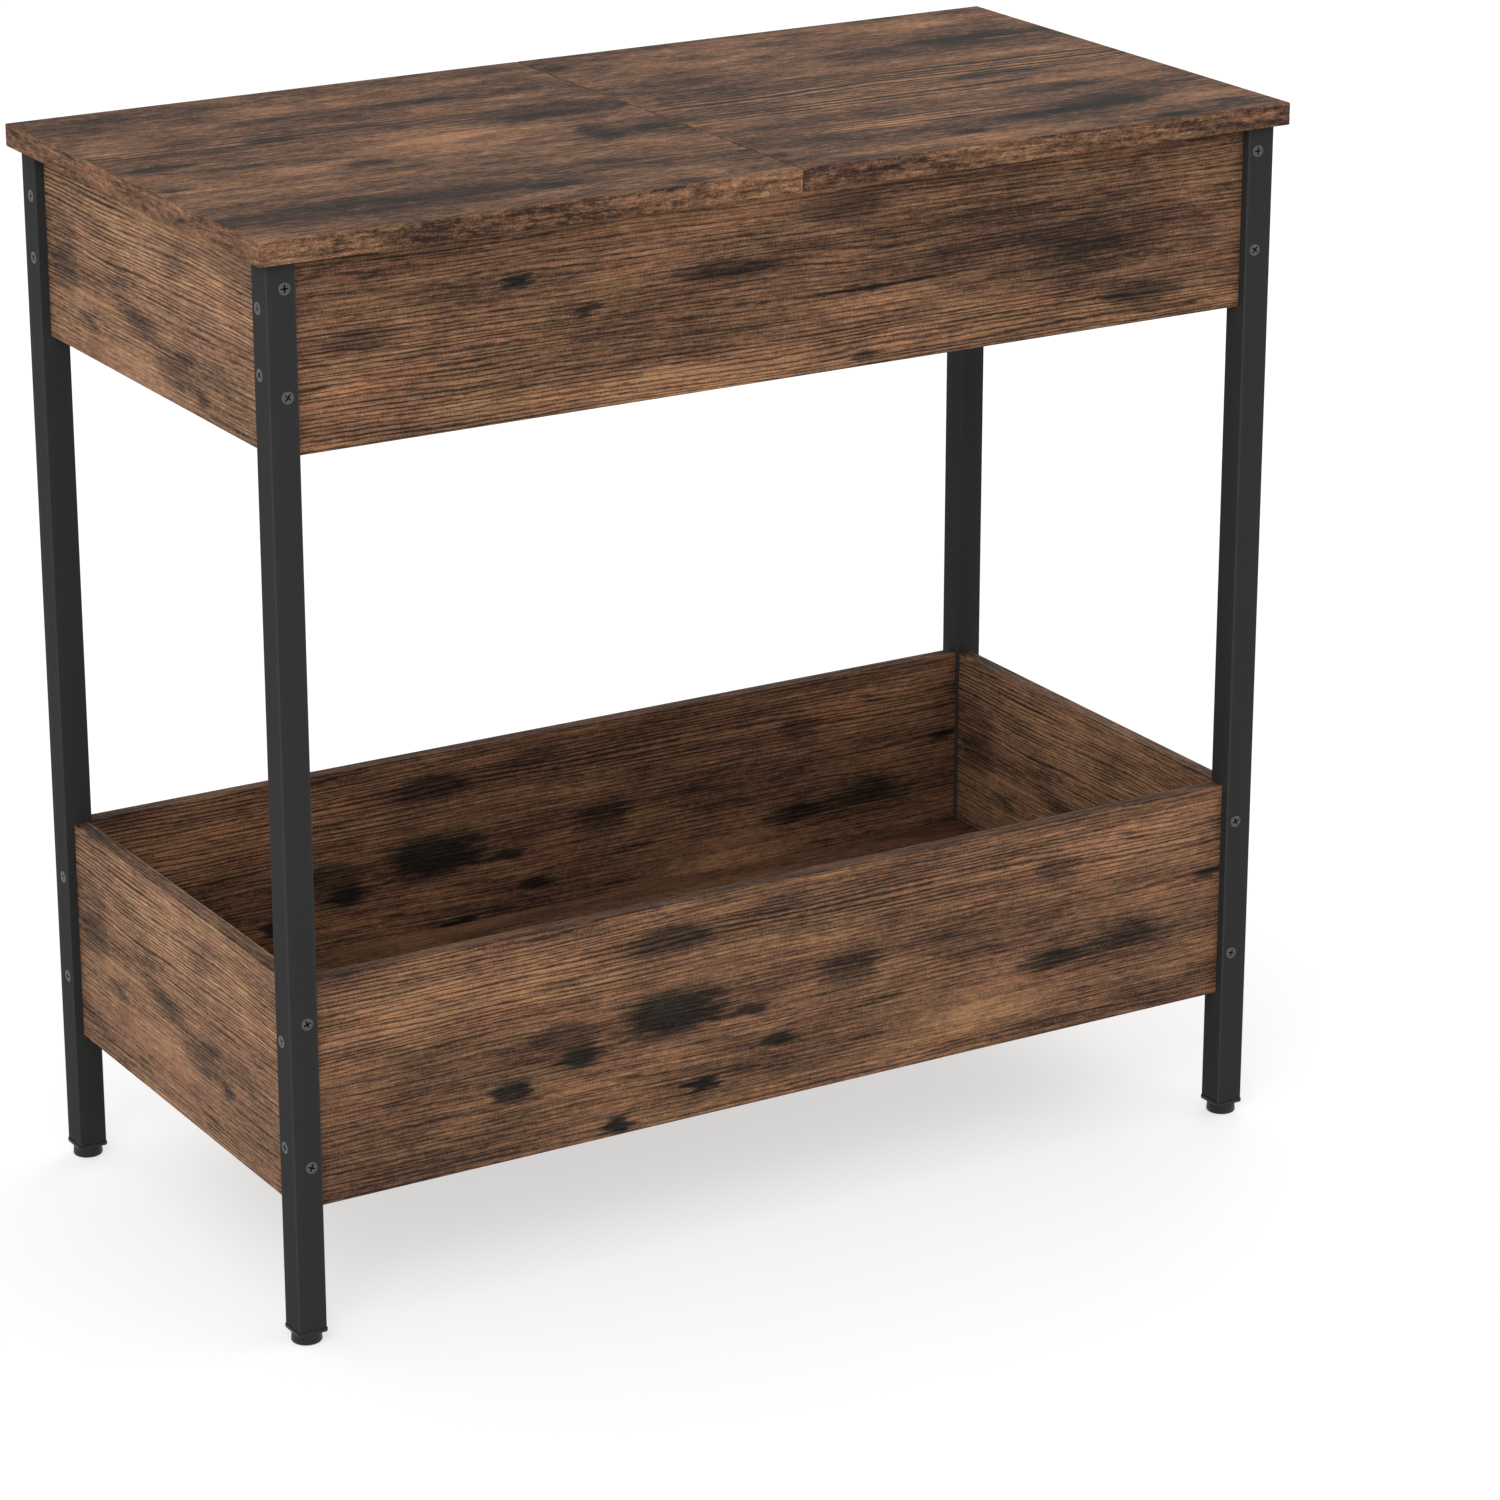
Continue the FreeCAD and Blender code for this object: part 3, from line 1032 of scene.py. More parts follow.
UPPER_FRONT_WASHES = (
    Mark(280, 90, 300, 10, 0.2),
    Mark(60, 75, 80, 20, 0.14),
    Mark(200, 12, 120, 12, 0.1),
    Mark(440, 40, 120, 28, -0.22),
    Mark(120, 30, 90, 10, -0.1),
)
SIDE_WASHES = (
    Mark(190, 32, 90, 16, 0.2),
    Mark(60, 26, 60, 12, 0.12),
    Mark(80, 96, 90, 16, 0.2),
    Mark(215, 60, 60, 16, -0.16),
    Mark(120, 60, 70, 14, -0.14),
    Mark(200, 112, 70, 12, -0.08),
)
LEFT_LID_WASHES = (
    Mark(175, 148, 60, 24, 0.32),
    Mark(60, 212, 90, 16, 0.26),
    Mark(205, 190, 46, 18, 0.2),
    Mark(120, 38, 70, 14, 0.12),
    Mark(268, 276, 32, 14, 0.12),
    Mark(150, 284, 40, 8, 0.16),
    Mark(80, 262, 110, 24, -0.24),
    Mark(255, 124, 52, 28, -0.26),
    Mark(130, 66, 90, 14, -0.2),
    Mark(40, 120, 50, 24, -0.1),
    Mark(220, 236, 50, 18, -0.18),
)
RIGHT_LID_WASHES = (
    Mark(236, 26, 70, 20, 0.3),
    Mark(90, 20, 70, 14, 0.1),
    Mark(100, 172, 96, 14, 0.3),
    Mark(105, 233, 70, 10, 0.26),
    Mark(250, 182, 50, 8, 0.14),
    Mark(120, 284, 80, 10, 0.16),
    Mark(270, 262, 30, 16, 0.2),
    Mark(235, 78, 86, 24, -0.26),
    Mark(45, 86, 60, 40, -0.12),
    Mark(30, 262, 50, 24, -0.14),
    Mark(230, 215, 60, 24, -0.16),
)
LID_FIGURE = Figure(
    dash=0.8,
    grit=0.8,
    tone=1.3,
    cloud=1.6,
    mottle=1.1,
    lines=0.0,
    line_depth=0.8,
    line_gap_mm=5.4,
    level=0.41,
    rim=0.0,
    rim_fibre=0.4,
)


@dataclass(frozen=True)
class CrossScrew:
    """Countersunk screw with a cross recess, modelled from the middle of its flush head along +Z.

    The recess and the ease are shares of the head's radius. The core, the point and the point's length are
    shares of the shank's radius, and the thread starts at the collar, a share of the head's height. The
    ridge's foot is sunk into the core, to a share of its radius.
    """

    head_mm: float
    shank_mm: float
    length_mm: float
    pitch_mm: float
    sides: int = 32
    recess_reach: float = 0.66
    recess_depth: float = 0.6
    recess_half_width: float = 0.14
    recess_taper: float = 0.45
    ease: float = 0.04
    core: float = 0.74
    point: float = 0.2
    point_length: float = 1.6
    collar: float = 2.2
    sunk: float = 0.9

    def _recess(self) -> Shape:
        """Models the driver's tip: a cross that narrows downwards.

        Returns:
            The tip, which cuts the recess.
        """
        reach, depth = self.recess_reach * self.head_mm, self.recess_depth * self.head_mm
        half, over = self.recess_half_width * self.head_mm, 0.1 * depth
        tip = bar((-half, -half, -over), (half, half, depth))
        pick(tip, "FACE", lambda normal: abs(normal.z) < 0.5)
        bpy.ops.mesh.extrude_faces_move(TRANSFORM_OT_shrink_fatten={"value": (reach - half) * MM})
        mode("OBJECT")
        pick(tip, "FACE", lambda normal: normal.z > 0.5)
        taper = (self.recess_taper, self.recess_taper, 1)
        bpy.ops.transform.resize(value=taper, center_override=(0, 0, depth * MM))
        mode("OBJECT")
        return tip

    def model(self) -> Shape:
        """Models the screw.

        Returns:
            The screw, head down at the origin.
        """
        head, shank, length = self.head_mm, self.shank_mm, self.length_mm
        core, ease = self.core * shank, self.ease * head
        neck = head - shank
        start, end = self.collar * neck, length - self.point_length * shank
        outline = [(head - ease, 0), (head, ease), (shank, neck), (shank, 2 * neck), (core, start)]
        outline += [(core, end), (self.point * shank, length)]
        screw = carved(turned(outline, self.sides), self._recess())
        turns = int((end - start) / self.pitch_mm)
        return joined([thread(shank, shank - self.sunk * core, self.pitch_mm, start, turns), screw])

    def hole(self, slack_mm: float, depth_mm: float) -> Shape:
        """Models the countersunk hole that the screw needs.

        Args:
            slack_mm: Clearance round the screw.
            depth_mm: Depth of the hole.

        Returns:
            The hole as a tool that cuts it.
        """
        head, shank = self.head_mm + slack_mm, self.shank_mm + slack_mm
        outline = [(head + slack_mm, -slack_mm), (shank, head - shank - slack_mm), (shank, depth_mm)]
        return turned(outline, self.sides)


@dataclass
class Legs:
    """Four legs of square steel tube, drilled for the screws that hold the boards, and their caps.

    The shares say how far below a board's top the screws sit: those in the long boards' ends, which show on
    the front and back, and those in the short boards' ends, which show on the sides.
    """

    corner_mm: float = 1.0
    wall_mm: float = 1.2
    slack_mm: float = 0.3
    bite_mm: float = 22.0
    cap_wall_mm: float = 2.0
    cap_ease_mm: float = 0.5
    spin: float = 0.7
    end_shares: ClassVar[dict] = {"upper": (0.136, 0.682), "bin": (0.166, 0.800)}
    side_shares: ClassVar[dict] = {"upper": (0.242, 0.577), "bin": (0.253, 0.722)}

    def screw(self) -> CrossScrew:
        """Gives the screw, long enough to pass a leg and bite into a board."""
        low, high = box_mm("leg_front_left")
        return CrossScrew(head_mm=3.3, shank_mm=1.75, length_mm=high.x - low.x + self.bite_mm, pitch_mm=1.5)

    def _screw_places(self, corner: str) -> list[tuple[Vector, Vector]]:
        """Gives the head's middle and the direction of each screw through a leg.

        Args:
            corner: Name of the leg's corner.

        Returns:
            Pairs of a place and a direction.
        """
        side, end = CORNERS[corner]
        low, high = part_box(f"leg_{corner}")
        face_x = low.x if side < 0 else high.x
        face_y = low.y if end < 0 else high.y
        places = []
        for box in ("upper", "bin"):
            middle_x = -side * middle_of(f"{box}_left_board").x
            middle_y = -end * middle_of(f"{box}_front_board").y
            board_low, board_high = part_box(f"{box}_front_board")
            height = board_high.z - board_low.z
            for share in self.end_shares[box]:
                level = board_high.z - share * height
                places.append((Vector((middle_x, face_y, level)), Vector((0, -end, 0))))
            for share in self.side_shares[box]:
                level = board_high.z - share * height
                places.append((Vector((face_x, middle_y, level)), Vector((-side, 0, 0))))
        return places

    def _tube(self, corner: str) -> Shape:
        """Models one leg: a tube with rounded corners and countersunk holes.

        Args:
            corner: Name of the leg's corner.

        Returns:
            The leg.
        """
        low, high = box_mm(f"leg_{corner}")
        tube = rounded(bar(low, high), upright, self.corner_mm, segments=6)
        wall = Vector((self.wall_mm, self.wall_mm, -self.wall_mm))
        carved(tube, rounded(bar(low + wall, high - wall), upright, self.corner_mm / 3, segments=3))
        drill = self.screw().hole(self.slack_mm, self.bite_mm)
        carved(tube, joined([copied(drill, place, way) for place, way in self._screw_places(corner)]))
        removed(drill)
        return tube

    def _cap(self, corner: str) -> Shape:
        """Models the cap in a leg's upper end, hollow below.

        Args:
            corner: Name of the leg's corner.

        Returns:
            The cap.
        """
        caps_low, caps_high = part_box("leg_top_caps")
        low, high = box_mm(f"leg_{corner}")
        inset = self.wall_mm + 2 * self.slack_mm
        low, high = low + Vector((inset, inset, 0)), high - Vector((inset, inset, 0))
        low.z = caps_low.z / MM
        shell = rounded(bar(low, high), upright, self.corner_mm, segments=4)
        rounded(shell, lying_at(caps_high.z), self.cap_ease_mm, segments=3)
        wall = self.cap_wall_mm
        hollow = bar(low + Vector((wall, wall, -wall)), high - Vector((wall, wall, wall)))
        return carved(shell, rounded(hollow, upright, self.corner_mm, segments=4))

    def build(self, steel: Finish, plastic: Finish, zinc: Finish) -> None:
        """Builds the legs, their caps and their screws.

        Args:
            steel: Finish of the tube.
            plastic: Finish of the caps.
            zinc: Finish of the screws.
        """
        model = self.screw().model()
        caps = []
        for corner in CORNERS:
            fitted(self._tube(corner), f"tube_{corner}", steel, "frame", f"leg_{corner}")
            screws = []
            for number, (place, way) in enumerate(self._screw_places(corner)):
                screws.append(copied(model, place, way, number * self.spin))
            fitted(joined(screws), f"screws_{corner}", zinc, "frame", f"leg_screws_{corner}")
            caps.append(self._cap(corner))
        removed(model)
        fitted(joined(caps), "caps", plastic, "frame", "leg_top_caps")


@dataclass(frozen=True)
class Foot:
    """One levelling foot with its plug and nut, modelled round the Z axis, all in millimetres.

    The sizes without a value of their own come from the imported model. Levels are heights above the floor.
    The thread's shares are of its pitch, and the nut's bevel is a share of what its corners stand out.
    """

    pad_radius: float
    pad_top: float
    stud_radius: float
    stud_bottom: float
    stud_top: float
    plug_bottom: float
    plug_top: float
    plug_side: float
    flange_side: float
    leg_bottom: float
    pad_sides: int = 64
    rim: float = 1.2
    rim_steps: int = 6
    taper: float = 0.4
    ease: float = 0.5
    ease_share: float = 0.3
    sole_shares: tuple[float, float, float] = (0.4, 0.72, 0.78)
    sole_hollow: float = 0.6
    fit: float = 0.1
    pitch: float = 1.0
    thread_depth: float = 0.6
    thread_ease: float = 0.5
    thread_sunk: float = 1.1
    bore_sides: int = 32
    flange_corner: float = 1.6
    flange_ease: float = 0.6
    flange_grip: float = 0.2
    ribs: int = 4
    rib: float = 1.8
    rib_depth: float = 0.4
    nut_flats: float = 10.0
    nut_height: float = 5.0
    nut_bevel: float = 0.6
    nut_sides: int = 48

    def pad(self) -> Shape:
        """Models the round pad with a rounded rim, a hollowed sole and a socket for the stud.

        Returns:
            The pad, standing on the floor.
        """
        inner, outer, foot = (share * self.pad_radius for share in self.sole_shares)
        outline = [(inner, self.sole_hollow), (outer, self.sole_hollow), (foot, 0)]
        for step in range(self.rim_steps + 1):
            angle = math.radians(90) * step / self.rim_steps
            radius = self.pad_radius - self.rim * (1 - math.sin(angle))
            outline.append((radius, self.rim * (1 - math.cos(angle))))
        shoulder, ease, socket = self.pad_radius - self.taper, self.ease, self.stud_radius + self.fit / 2
        for inward, below in ((0, 1), (self.ease_share, self.ease_share), (1, 0)):
            outline.append((shoulder - inward * ease, self.pad_top - below * ease))
        outline += [(socket + self.fit, self.pad_top), (socket, self.pad_top - self.fit)]
        return turned(outline + [(socket, self.stud_bottom)], self.pad_sides)

    def stud(self) -> Shape:
        """Models the threaded stud with a chamfer at each end.

        Returns:
            The stud, at its height.
        """
        core = self.stud_radius - self.thread_depth * self.pitch
        chamfer = self.thread_ease * self.pitch
        low, high = self.stud_bottom, self.stud_top
        outline = [(core - chamfer, low), (core, low + chamfer)]
        outline += [(core, high - chamfer), (core - chamfer, high)]
        depth = self.thread_sunk * (self.stud_radius - core)
        turns = int((high - low) / self.pitch) - 2
        ridge = thread(self.stud_radius, depth, self.pitch, low + self.pitch, turns)
        return joined([ridge, turned(outline, self.bore_sides)])

    def plug(self) -> Shape:
        """Models the plug: a flange with rounded corners below a ribbed body with a pocket for the nut.

        Returns:
            The plug, at its height.
        """
        wide = self.plug_side / 2
        narrow = wide - self.rib_depth
        outline = [(narrow, self.leg_bottom - self.flange_grip)]
        for number in range(self.ribs):
            level = self.leg_bottom + (number + 1) * (self.plug_top - self.leg_bottom) / self.ribs
            outline += [(narrow, level - self.rib), (wide, level - self.rib)]
            outline += [(wide, level - self.rib_depth), (narrow, level)]
        corners = [(math.sqrt(2) * half, level) for half, level in outline]
        body = turned(corners, sides=4, turn_degrees=45)
        half = self.flange_side / 2
        plate = bar((-half, -half, self.plug_bottom), (half, half, self.leg_bottom))
        rounded(plate, upright, self.flange_corner, segments=6)
        rounded(plate, lying_at(self.plug_bottom * MM), self.flange_ease, segments=4)
        carved(plate, body, "UNION")
        pocket = (self.nut_flats / 2 + self.fit) * HEXAGON_CORNER
        seat, bore, over = self.plug_top - self.nut_height, self.stud_radius + self.fit, 1.0
        carved(plate, turned([(pocket, seat), (pocket, self.plug_top + over)], sides=6))
        hole = [(bore, self.plug_bottom - over), (bore, self.plug_top)]
        return carved(plate, turned(hole, self.bore_sides))

    def nut(self) -> Shape:
        """Models the hexagon nut with chamfered corners.

        Returns:
            The nut, standing on z = 0.
        """
        flat, height = self.nut_flats / 2, self.nut_height
        corner = flat * HEXAGON_CORNER
        blank = turned([(corner, 0), (corner, height)], sides=6)
        bevel = self.nut_bevel * (corner - flat)
        cone = [(flat, 0), (corner, bevel), (corner, height - bevel), (flat, height)]
        carved(blank, turned(cone, self.nut_sides), "INTERSECT")
        bore, ease = self.stud_radius + self.fit / 2, self.thread_ease * self.pitch
        hole = [(bore + 2 * ease, -ease), (bore, ease)]
        hole += [(bore, height - ease), (bore + 2 * ease, height + ease)]
        return carved(blank, turned(hole, self.bore_sides))


@dataclass
class Feet:
    """The four levelling feet, which are all alike."""

    def _foot(self) -> Foot:
        """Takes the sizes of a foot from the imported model.

        Returns:
            The foot.
        """
        pad_low, pad_high = box_mm("foot_pad_front_left")
        stud_low, stud_high = box_mm("foot_stud_front_left")
        plug_low, plug_high = box_mm("foot_plug_front_left")
        leg_low, leg_high = box_mm("leg_front_left")
        return Foot(
            pad_radius=(pad_high.x - pad_low.x) / 2,
            pad_top=pad_high.z,
            stud_radius=(stud_high.y - stud_low.y) / 2,
            stud_bottom=stud_low.z,
            stud_top=stud_high.z,
            plug_bottom=plug_low.z,
            plug_top=plug_high.z,
            plug_side=leg_high.x - leg_low.x - 2 * Legs.wall_mm - 2 * Foot.fit,
            flange_side=plug_high.x - plug_low.x,
            leg_bottom=leg_low.z,
        )

    def build(self, plastic: Finish, zinc: Finish) -> None:
        """Builds the plugs, nuts, studs and pads.

        Args:
            plastic: Finish of the plugs and pads.
            zinc: Finish of the nuts and studs.
        """
        foot = self._foot()
        pad, stud, plug, nut = foot.pad(), foot.stud(), foot.plug(), foot.nut()
        seat = (foot.plug_top - foot.nut_height) * MM
        nuts = []
        for corner in CORNERS:
            axis = middle_of(f"leg_{corner}")
            axis.z = 0
            for part, shape, finish, body in (
                ("pad", pad, plastic, f"foot_{corner}"),
                ("stud", stud, zinc, f"foot_{corner}"),
                ("plug", plug, plastic, "frame"),
            ):
                fitted(copied(shape, axis), f"{part}_{corner}", finish, body, f"foot_{part}_{corner}")
            nuts.append(copied(nut, axis + seat * UP))
        fitted(joined(nuts), "nuts", zinc, "frame", "foot_nuts")
        removed(pad, stud, plug, nut)


@dataclass(frozen=True)
class Hinge:
    """One butt hinge, modelled round its axis along X at the origin, in millimetres.

    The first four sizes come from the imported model: its length, how far a leaf reaches from the axis, how
    far from the axis its screws lie, and the pin's radius. A leaf's rise is -1 for the one on the frame,
    which has the outer knuckles, and 1 for the one on the lid.
    """

    length: float
    reach: float
    screw_line: float
    pin_radius: float
    leaf_thickness: float = 1.0
    gap: float = 0.05
    knuckle_radius: float = 2.0
    knuckle_gap: float = 0.1
    knuckle_space: float = 2.3
    knuckles: int = 3
    corner: float = 2.0
    pin_ease: float = 0.25
    sides: int = 48
    screw_shares: tuple[float, float] = (-0.27, 0.27)
    frame_screw: CrossScrew = CrossScrew(head_mm=2.3, shank_mm=1.25, length_mm=12.0, pitch_mm=1.1)
    lid_screw: CrossScrew = CrossScrew(head_mm=2.3, shank_mm=1.25, length_mm=8.4, pitch_mm=1.1)

    def _along(self, radius: float, start: float, end: float) -> Shape:
        """Models a round bar on the hinge's axis, between two places along X."""
        return laid(turned([(radius, start), (radius, end)], self.sides))

    def pin(self) -> Shape:
        """Models the pin with eased ends.

        Returns:
            The pin.
        """
        radius, half, ease = self.pin_radius, self.length / 2, self.pin_ease
        outline = [(radius - ease, -half), (radius, ease - half)]
        outline += [(radius, half - ease), (radius - ease, half)]
        return laid(turned(outline, self.sides))

    def _add_knuckles(self, leaf: Shape, rise: int) -> None:
        """Rolls a leaf's own knuckles and frees the space of the other leaf's.

        Args:
            leaf: The leaf.
            rise: Which leaf it is.
        """
        pitch, gap, space = self.length / self.knuckles, self.knuckle_gap, self.knuckle_space
        first = 0 if rise < 0 else 1
        for number in range(self.knuckles):
            start = number * pitch - self.length / 2
            end = start + pitch
            if number % 2 == first:
                inset = gap if rise > 0 else 0.0
                carved(leaf, self._along(self.knuckle_radius, start + inset, end - inset), "UNION")
            else:
                low = -self.length if number == 0 else start - gap / 2
                high = self.length if number == self.knuckles - 1 else end + gap / 2
                carved(leaf, bar((low, -space, -space), (high, space, space)))
        carved(leaf, self._along(self.pin_radius + self.gap, -self.length, self.length))

    def leaf(self, rise: int) -> Shape:
        """Models one leaf with its knuckles and holes.

        Args:
            rise: Which leaf it is.

        Returns:
            The leaf.
        """
        near = rise * self.gap
        low, high = sorted((near, near + rise * self.leaf_thickness))
        leaf = bar((-self.length / 2, -self.reach, low), (self.length / 2, 0, high))
        edge = (self.corner / 2 - self.reach) * MM
        rounded(leaf, lambda a, b: upright(a, b) and a.y < edge, self.corner, segments=6)
        self._add_knuckles(leaf, rise)
        screw = self.frame_screw if rise < 0 else self.lid_screw
        drill = screw.hole(self.gap, self.leaf_thickness + self.knuckle_radius)
        holes = []
        for share in self.screw_shares:
            place = Vector((share * self.length, -self.screw_line, near)) * MM
            holes.append(copied(drill, place, rise * UP))
        carved(leaf, joined(holes))
        removed(drill)
        return leaf


@dataclass
class Hinges:
    """The four hinges, two at the back of each lid, which are all alike.

    The spins turn the screws' cross recesses, in radians, for each leaf's two screws.
    """

    spins: ClassVar[dict] = {-1: (0.5, 1.5), 1: (0.0, 0.9)}

    def _hinge(self) -> Hinge:
        """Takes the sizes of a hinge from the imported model.

        Returns:
            The hinge.
        """
        axis = middle_of("hinge_pin_left_inner")
        low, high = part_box("hinge_pin_left_inner")
        leaf_low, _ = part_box("hinge_frame_leaf_left_inner")
        return Hinge(
            length=(high.x - low.x) / MM,
            reach=(axis.y - leaf_low.y) / MM,
            screw_line=(axis.y - middle_of("upper_back_board").y) / MM,
            pin_radius=(high.z - low.z) / 2 / MM,
        )

    def build(self, steel: Finish, zinc: Finish) -> None:
        """Builds the leaves, pins and screws.

        Args:
            steel: Finish of the leaves and pins.
            zinc: Finish of the screws.
        """
        hinge = self._hinge()
        frame_leaf, lid_leaf, pin = hinge.leaf(-1), hinge.leaf(1), hinge.pin()
        models = {-1: hinge.frame_screw.model(), 1: hinge.lid_screw.model()}
        for side in SIDES:
            screws = {-1: [], 1: []}
            for place in ("inner", "outer"):
                end = f"{side}_{place}"
                middle = middle_of(f"hinge_pin_{end}")
                for part, shape, body in (
                    ("frame_leaf", frame_leaf, "frame"),
                    ("lid_leaf", lid_leaf, f"lid_{side}"),
                    ("pin", pin, "frame"),
                ):
                    fitted(copied(shape, middle), f"{part}_{end}", steel, body, f"hinge_{part}_{end}")
                for number, share in enumerate(hinge.screw_shares):
                    for rise, model in models.items():
                        offset = Vector((share * hinge.length, -hinge.screw_line, rise * hinge.gap)) * MM
                        spin = self.spins[rise][number]
                        screws[rise].append(copied(model, middle + offset, rise * UP, spin))
            for rise, part, body in ((-1, "frame", "frame"), (1, "lid", f"lid_{side}")):
                name = f"{part}_screws_{side}"
                fitted(joined(screws[rise]), name, zinc, body, f"hinge_{name}")
        removed(frame_leaf, lid_leaf, pin, *models.values())


@dataclass
class BoxBoards:
    """The eight boards of the upper box and the bin, their floors and the divider: all printed melamine."""

    upper_front: Figure = Figure(
        level=0.51,
        stains=UPPER_FRONT_STAINS,
        washes=UPPER_FRONT_WASHES,
        ridges=(Mark(280, 88, 320, 14), Mark(60, 60, 90, 30, 0.6)),
    )
    bin_front: Figure = Figure(
        stains=BIN_FRONT_STAINS,
        washes=BIN_FRONT_WASHES,
        ridges=(Mark(80, 24, 130, 26), Mark(400, 20, 200, 14, 0.5), Mark(390, 94, 60, 16, -0.5)),
    )
    side: Figure = Figure(
        level=0.5,
        rim=-0.24,
        stains=SIDE_STAINS,
        washes=SIDE_WASHES,
        ridges=(Mark(150, 34, 130, 20), Mark(40, 14, 70, 12, 0.6), Mark(80, 98, 90, 16, -0.4)),
    )
    # Painted light: lighter, paler browns for the side boards, standing in for the stronger light and sheen
    # that fall on the sides.
    side_lit_tones: Tones = Tones("#33281f", "#5a4335", "#82624c", "#a17a5c", "#c2976f")
    floor: Figure = Figure(lines=0.1)
    # Painted shade: how much darker the back boards' print is than the fronts'.
    back_painted_shade: float = 0.05
    front_drifts_mm: ClassVar[dict] = {"upper": 0.0, "bin": 400.0}
    side_drift_mm: float = 1300.0
    floor_drift_mm: float = 2100.0
    divider_drift_mm: float = 2900.0

    def dress_all(self) -> None:
        """Gives each board of both boxes its own print; opposite boards are cut from the same sheet, and the
        back board takes it a little darker as painted shade inside the box.
        """
        for box, front in (("upper", self.upper_front), ("bin", self.bin_front)):
            drift = self.front_drifts_mm[box]
            # Painted shade: the back board gets the front's print a little darker, for the shade that falls
            # inside the box.
            back = replace(front, level=front.level - self.back_painted_shade)
            dress_board(f"{box}_front_board", Lay.FRONT, front, drift)
            dress_board(f"{box}_back_board", Lay.FRONT, back, drift)
            for side in SIDES:
                # Painted light: the side boards take the lighter browns.
                dress_board(f"{box}_{side}_board", Lay.SIDE, self.side, self.side_drift_mm, self.side_lit_tones)
            dress_board(f"{box}_floor", Lay.TOP, self.floor, self.floor_drift_mm)
        dress_board("upper_divider", Lay.SIDE, Figure(), self.divider_drift_mm)


@dataclass
class Lids:
    """The two halves of the table top."""

    tones: Tones = Tones(stain="#8d9ca8")
    left: Figure = replace(
        LID_FIGURE,
        end=0.16,
        stains=LEFT_LID_STAINS,
        washes=LEFT_LID_WASHES,
        ridges=(Mark(90, 100, 120, 12, 0.5),),
    )
    right: Figure = replace(
        LID_FIGURE,
        stains=RIGHT_LID_STAINS,
        washes=RIGHT_LID_WASHES,
        ridges=(Mark(170, 144, 200, 20), Mark(110, 180, 120, 14, 0.8), Mark(110, 234, 90, 14, 0.8)),
    )
    left_drift_mm: float = 3300.0
    right_drift_mm: float = 4100.0

    def dress_all(self) -> None:
        """Gives each half its own print, so that the figure changes at the seam."""
        dress_board("lid_left", Lay.TOP, self.left, self.left_drift_mm, self.tones)
        dress_board("lid_right", Lay.TOP, self.right, self.right_drift_mm, self.tones)


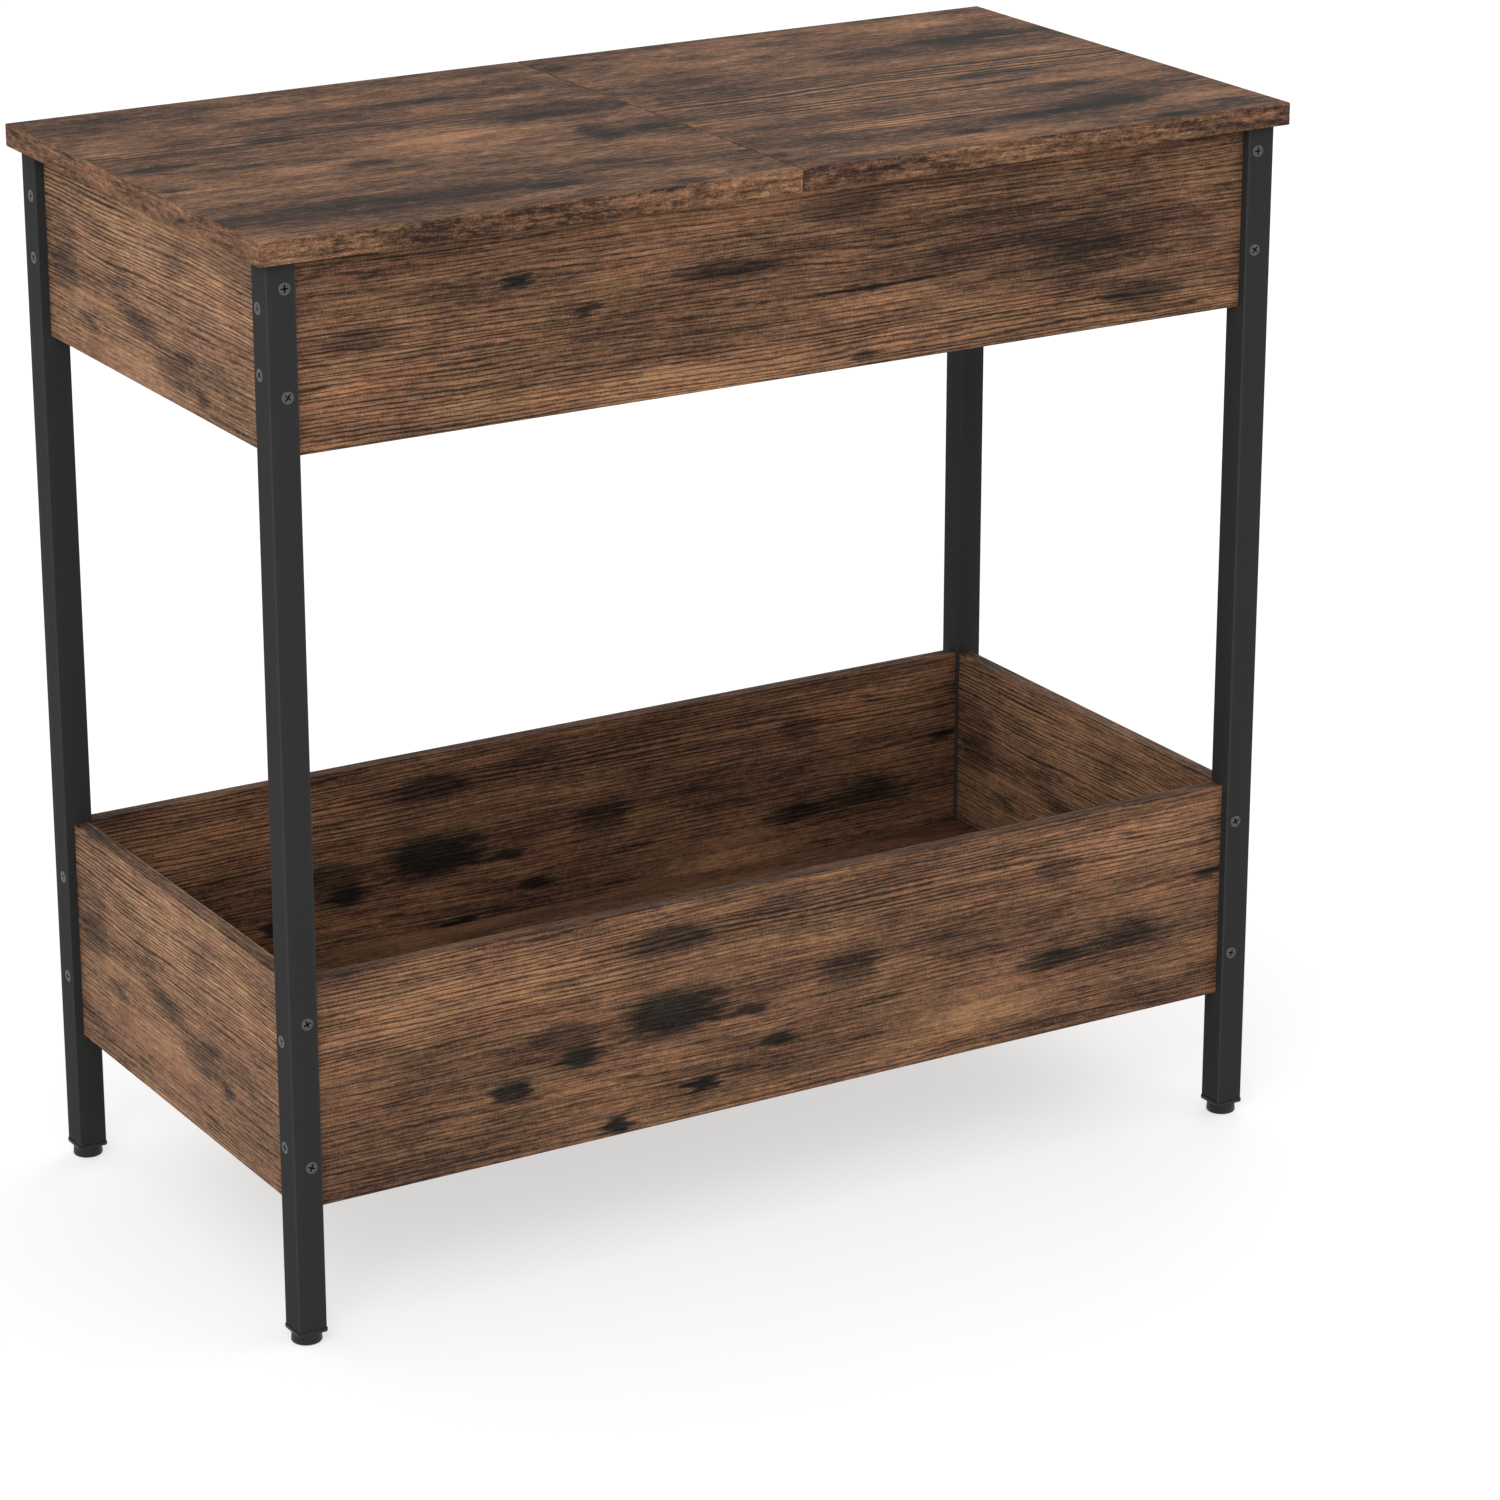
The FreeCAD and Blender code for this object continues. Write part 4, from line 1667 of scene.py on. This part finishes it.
@dataclass(frozen=True)
class Studio:
    """Pale floor, soft lamps and the camera of the photograph."""

    lens_mm: float = 123.27
    sensor_mm: float = 36.0
    yaw_degrees: float = 30.883
    pitch_degrees: float = 19.493
    camera_place: Point = (-1.309206, -2.287114, 1.158316)
    camera_reach: float = 100.0
    floor_radius: float = 14.0
    paper_colour: str = "#fafafa"
    white_share: float = 0.44
    white_strength: float = 1.3
    sky_strength: float = 0.85
    key_place: Point = (-2.2, -2.4, 2.4)
    key_size: float = 1.6
    key_watts: float = 30.0
    rim_place: Point = (2.0, 1.8, 2.0)
    rim_size: float = 1.2
    rim_share: float = 0.3
    lit_place: Point = (0.0, 0.0, 0.3)

    def _camera(self) -> None:
        """Adds the camera at the place and angle that the photograph was taken from."""
        yaw, pitch = math.radians(self.yaw_degrees), math.radians(self.pitch_degrees)
        ahead = Vector((math.sin(yaw) * math.cos(pitch), math.cos(yaw) * math.cos(pitch), -math.sin(pitch)))
        bpy.ops.object.camera_add(location=self.camera_place)
        camera = bpy.context.object
        camera.name = "photo_camera"
        camera.data.lens = self.lens_mm
        camera.data.sensor_width = self.sensor_mm
        camera.data.clip_end = self.camera_reach
        camera.rotation_euler = ahead.to_track_quat("-Z", "Y").to_euler()
        bpy.context.scene.camera = camera

    def _lamp(self, name: str, place: Point, size: float, watts: float) -> None:
        """Adds a square soft lamp that faces the middle of the table.

        Args:
            name: Name of the lamp.
            place: Where it hangs.
            size: Its side.
            watts: Its power.
        """
        bpy.ops.object.light_add(type="AREA", location=place)
        lamp = bpy.context.object
        lamp.name = name
        lamp.data.size = size
        lamp.data.energy = watts
        ahead = Vector(self.lit_place) - Vector(place)
        lamp.rotation_euler = ahead.to_track_quat("-Z", "Y").to_euler()

    def _seen(self, tree: Tree) -> Socket:
        """Tells what the camera sees, also in a mirror or through glass, from what only lights the rest.

        Args:
            tree: Node tree of the material.

        Returns:
            Socket of a mask: 1 where it is seen.
        """
        path = add_node(tree, "LightPath").outputs
        seen = maths(tree, "MAXIMUM", path["Is Camera Ray"], path["Is Glossy Ray"])
        return maths(tree, "MAXIMUM", seen, path["Is Transmission Ray"])

    def _floor(self) -> None:
        """Adds the floor: matt paper that looks white except where the table shades it."""
        bpy.ops.object.select_all(action="DESELECT")
        bpy.ops.mesh.primitive_circle_add(vertices=64, radius=self.floor_radius, fill_type="NGON")
        floor = bpy.context.object
        floor.name = "studio_floor"
        material, tree = new_tree("matt_white_paper")
        share = maths(tree, "MULTIPLY", self._seen(tree), self.white_share)
        paper = add_node(tree, "BsdfDiffuse", {"Color": linear(self.paper_colour)})
        glow = {"Color": (1, 1, 1, 1), "Strength": self.white_strength}
        white = add_node(tree, "Emission", glow)
        both = {0: share, 1: paper.outputs[0], 2: white.outputs[0]}
        surface = add_node(tree, "MixShader", both)
        add_node(tree, "OutputMaterial", {"Surface": surface.outputs[0]})
        floor.data.materials.append(material)

    def _sky(self) -> None:
        """Sets an even pale surround, which is plain white where it shows itself."""
        world = bpy.data.worlds.new("studio_surround")
        bpy.context.scene.world = world
        world.use_nodes = True
        tree = world.node_tree
        tree.nodes.clear()
        strength = spread(tree, self._seen(tree), self.sky_strength, 1.0)
        sky = add_node(tree, "Background", {"Color": (1, 1, 1, 1), "Strength": strength})
        add_node(tree, "OutputWorld", {"Surface": sky.outputs[0]})

    def build(self) -> None:
        """Builds the stage: camera, floor, surround and lamps."""
        bpy.context.scene.view_settings.view_transform = "Standard"
        self._camera()
        self._floor()
        self._sky()
        self._lamp("key_lamp", self.key_place, self.key_size, self.key_watts)
        self._lamp("rim_lamp", self.rim_place, self.rim_size, self.rim_share * self.key_watts)


def main() -> None:
    """Loads the frame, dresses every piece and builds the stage."""
    logging.basicConfig(level=logging.INFO, format="%(message)s")
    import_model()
    bpy.ops.object.select_all(action="DESELECT")

    steel = Finish(PowderCoat().build(), "leg_steel")
    plastic = Finish(MouldedPolyethylene().build(), "foot_plastic")
    dark_zinc = PlatedSteel("black_zinc_plated_steel", "#4c4c4c", "#636363", 0.42).build()
    bright_zinc = PlatedSteel("bright_zinc_plated_steel", "#c3c5c7", "#a9abad", 0.32).build()
    hinge_steel = PlatedSteel("black_plated_pressed_steel", "#474747", "#5a5a5a", 0.42).build()
    Legs().build(steel, plastic, Finish(dark_zinc, "screw_steel"))
    Feet().build(plastic, Finish(bright_zinc, "zinc_steel"))
    Hinges().build(Finish(hinge_steel, "hinge_steel"), Finish(bright_zinc, "zinc_steel"))
    BoxBoards().dress_all()
    Lids().dress_all()
    Studio().build()


if __name__ == "__main__":
    main()
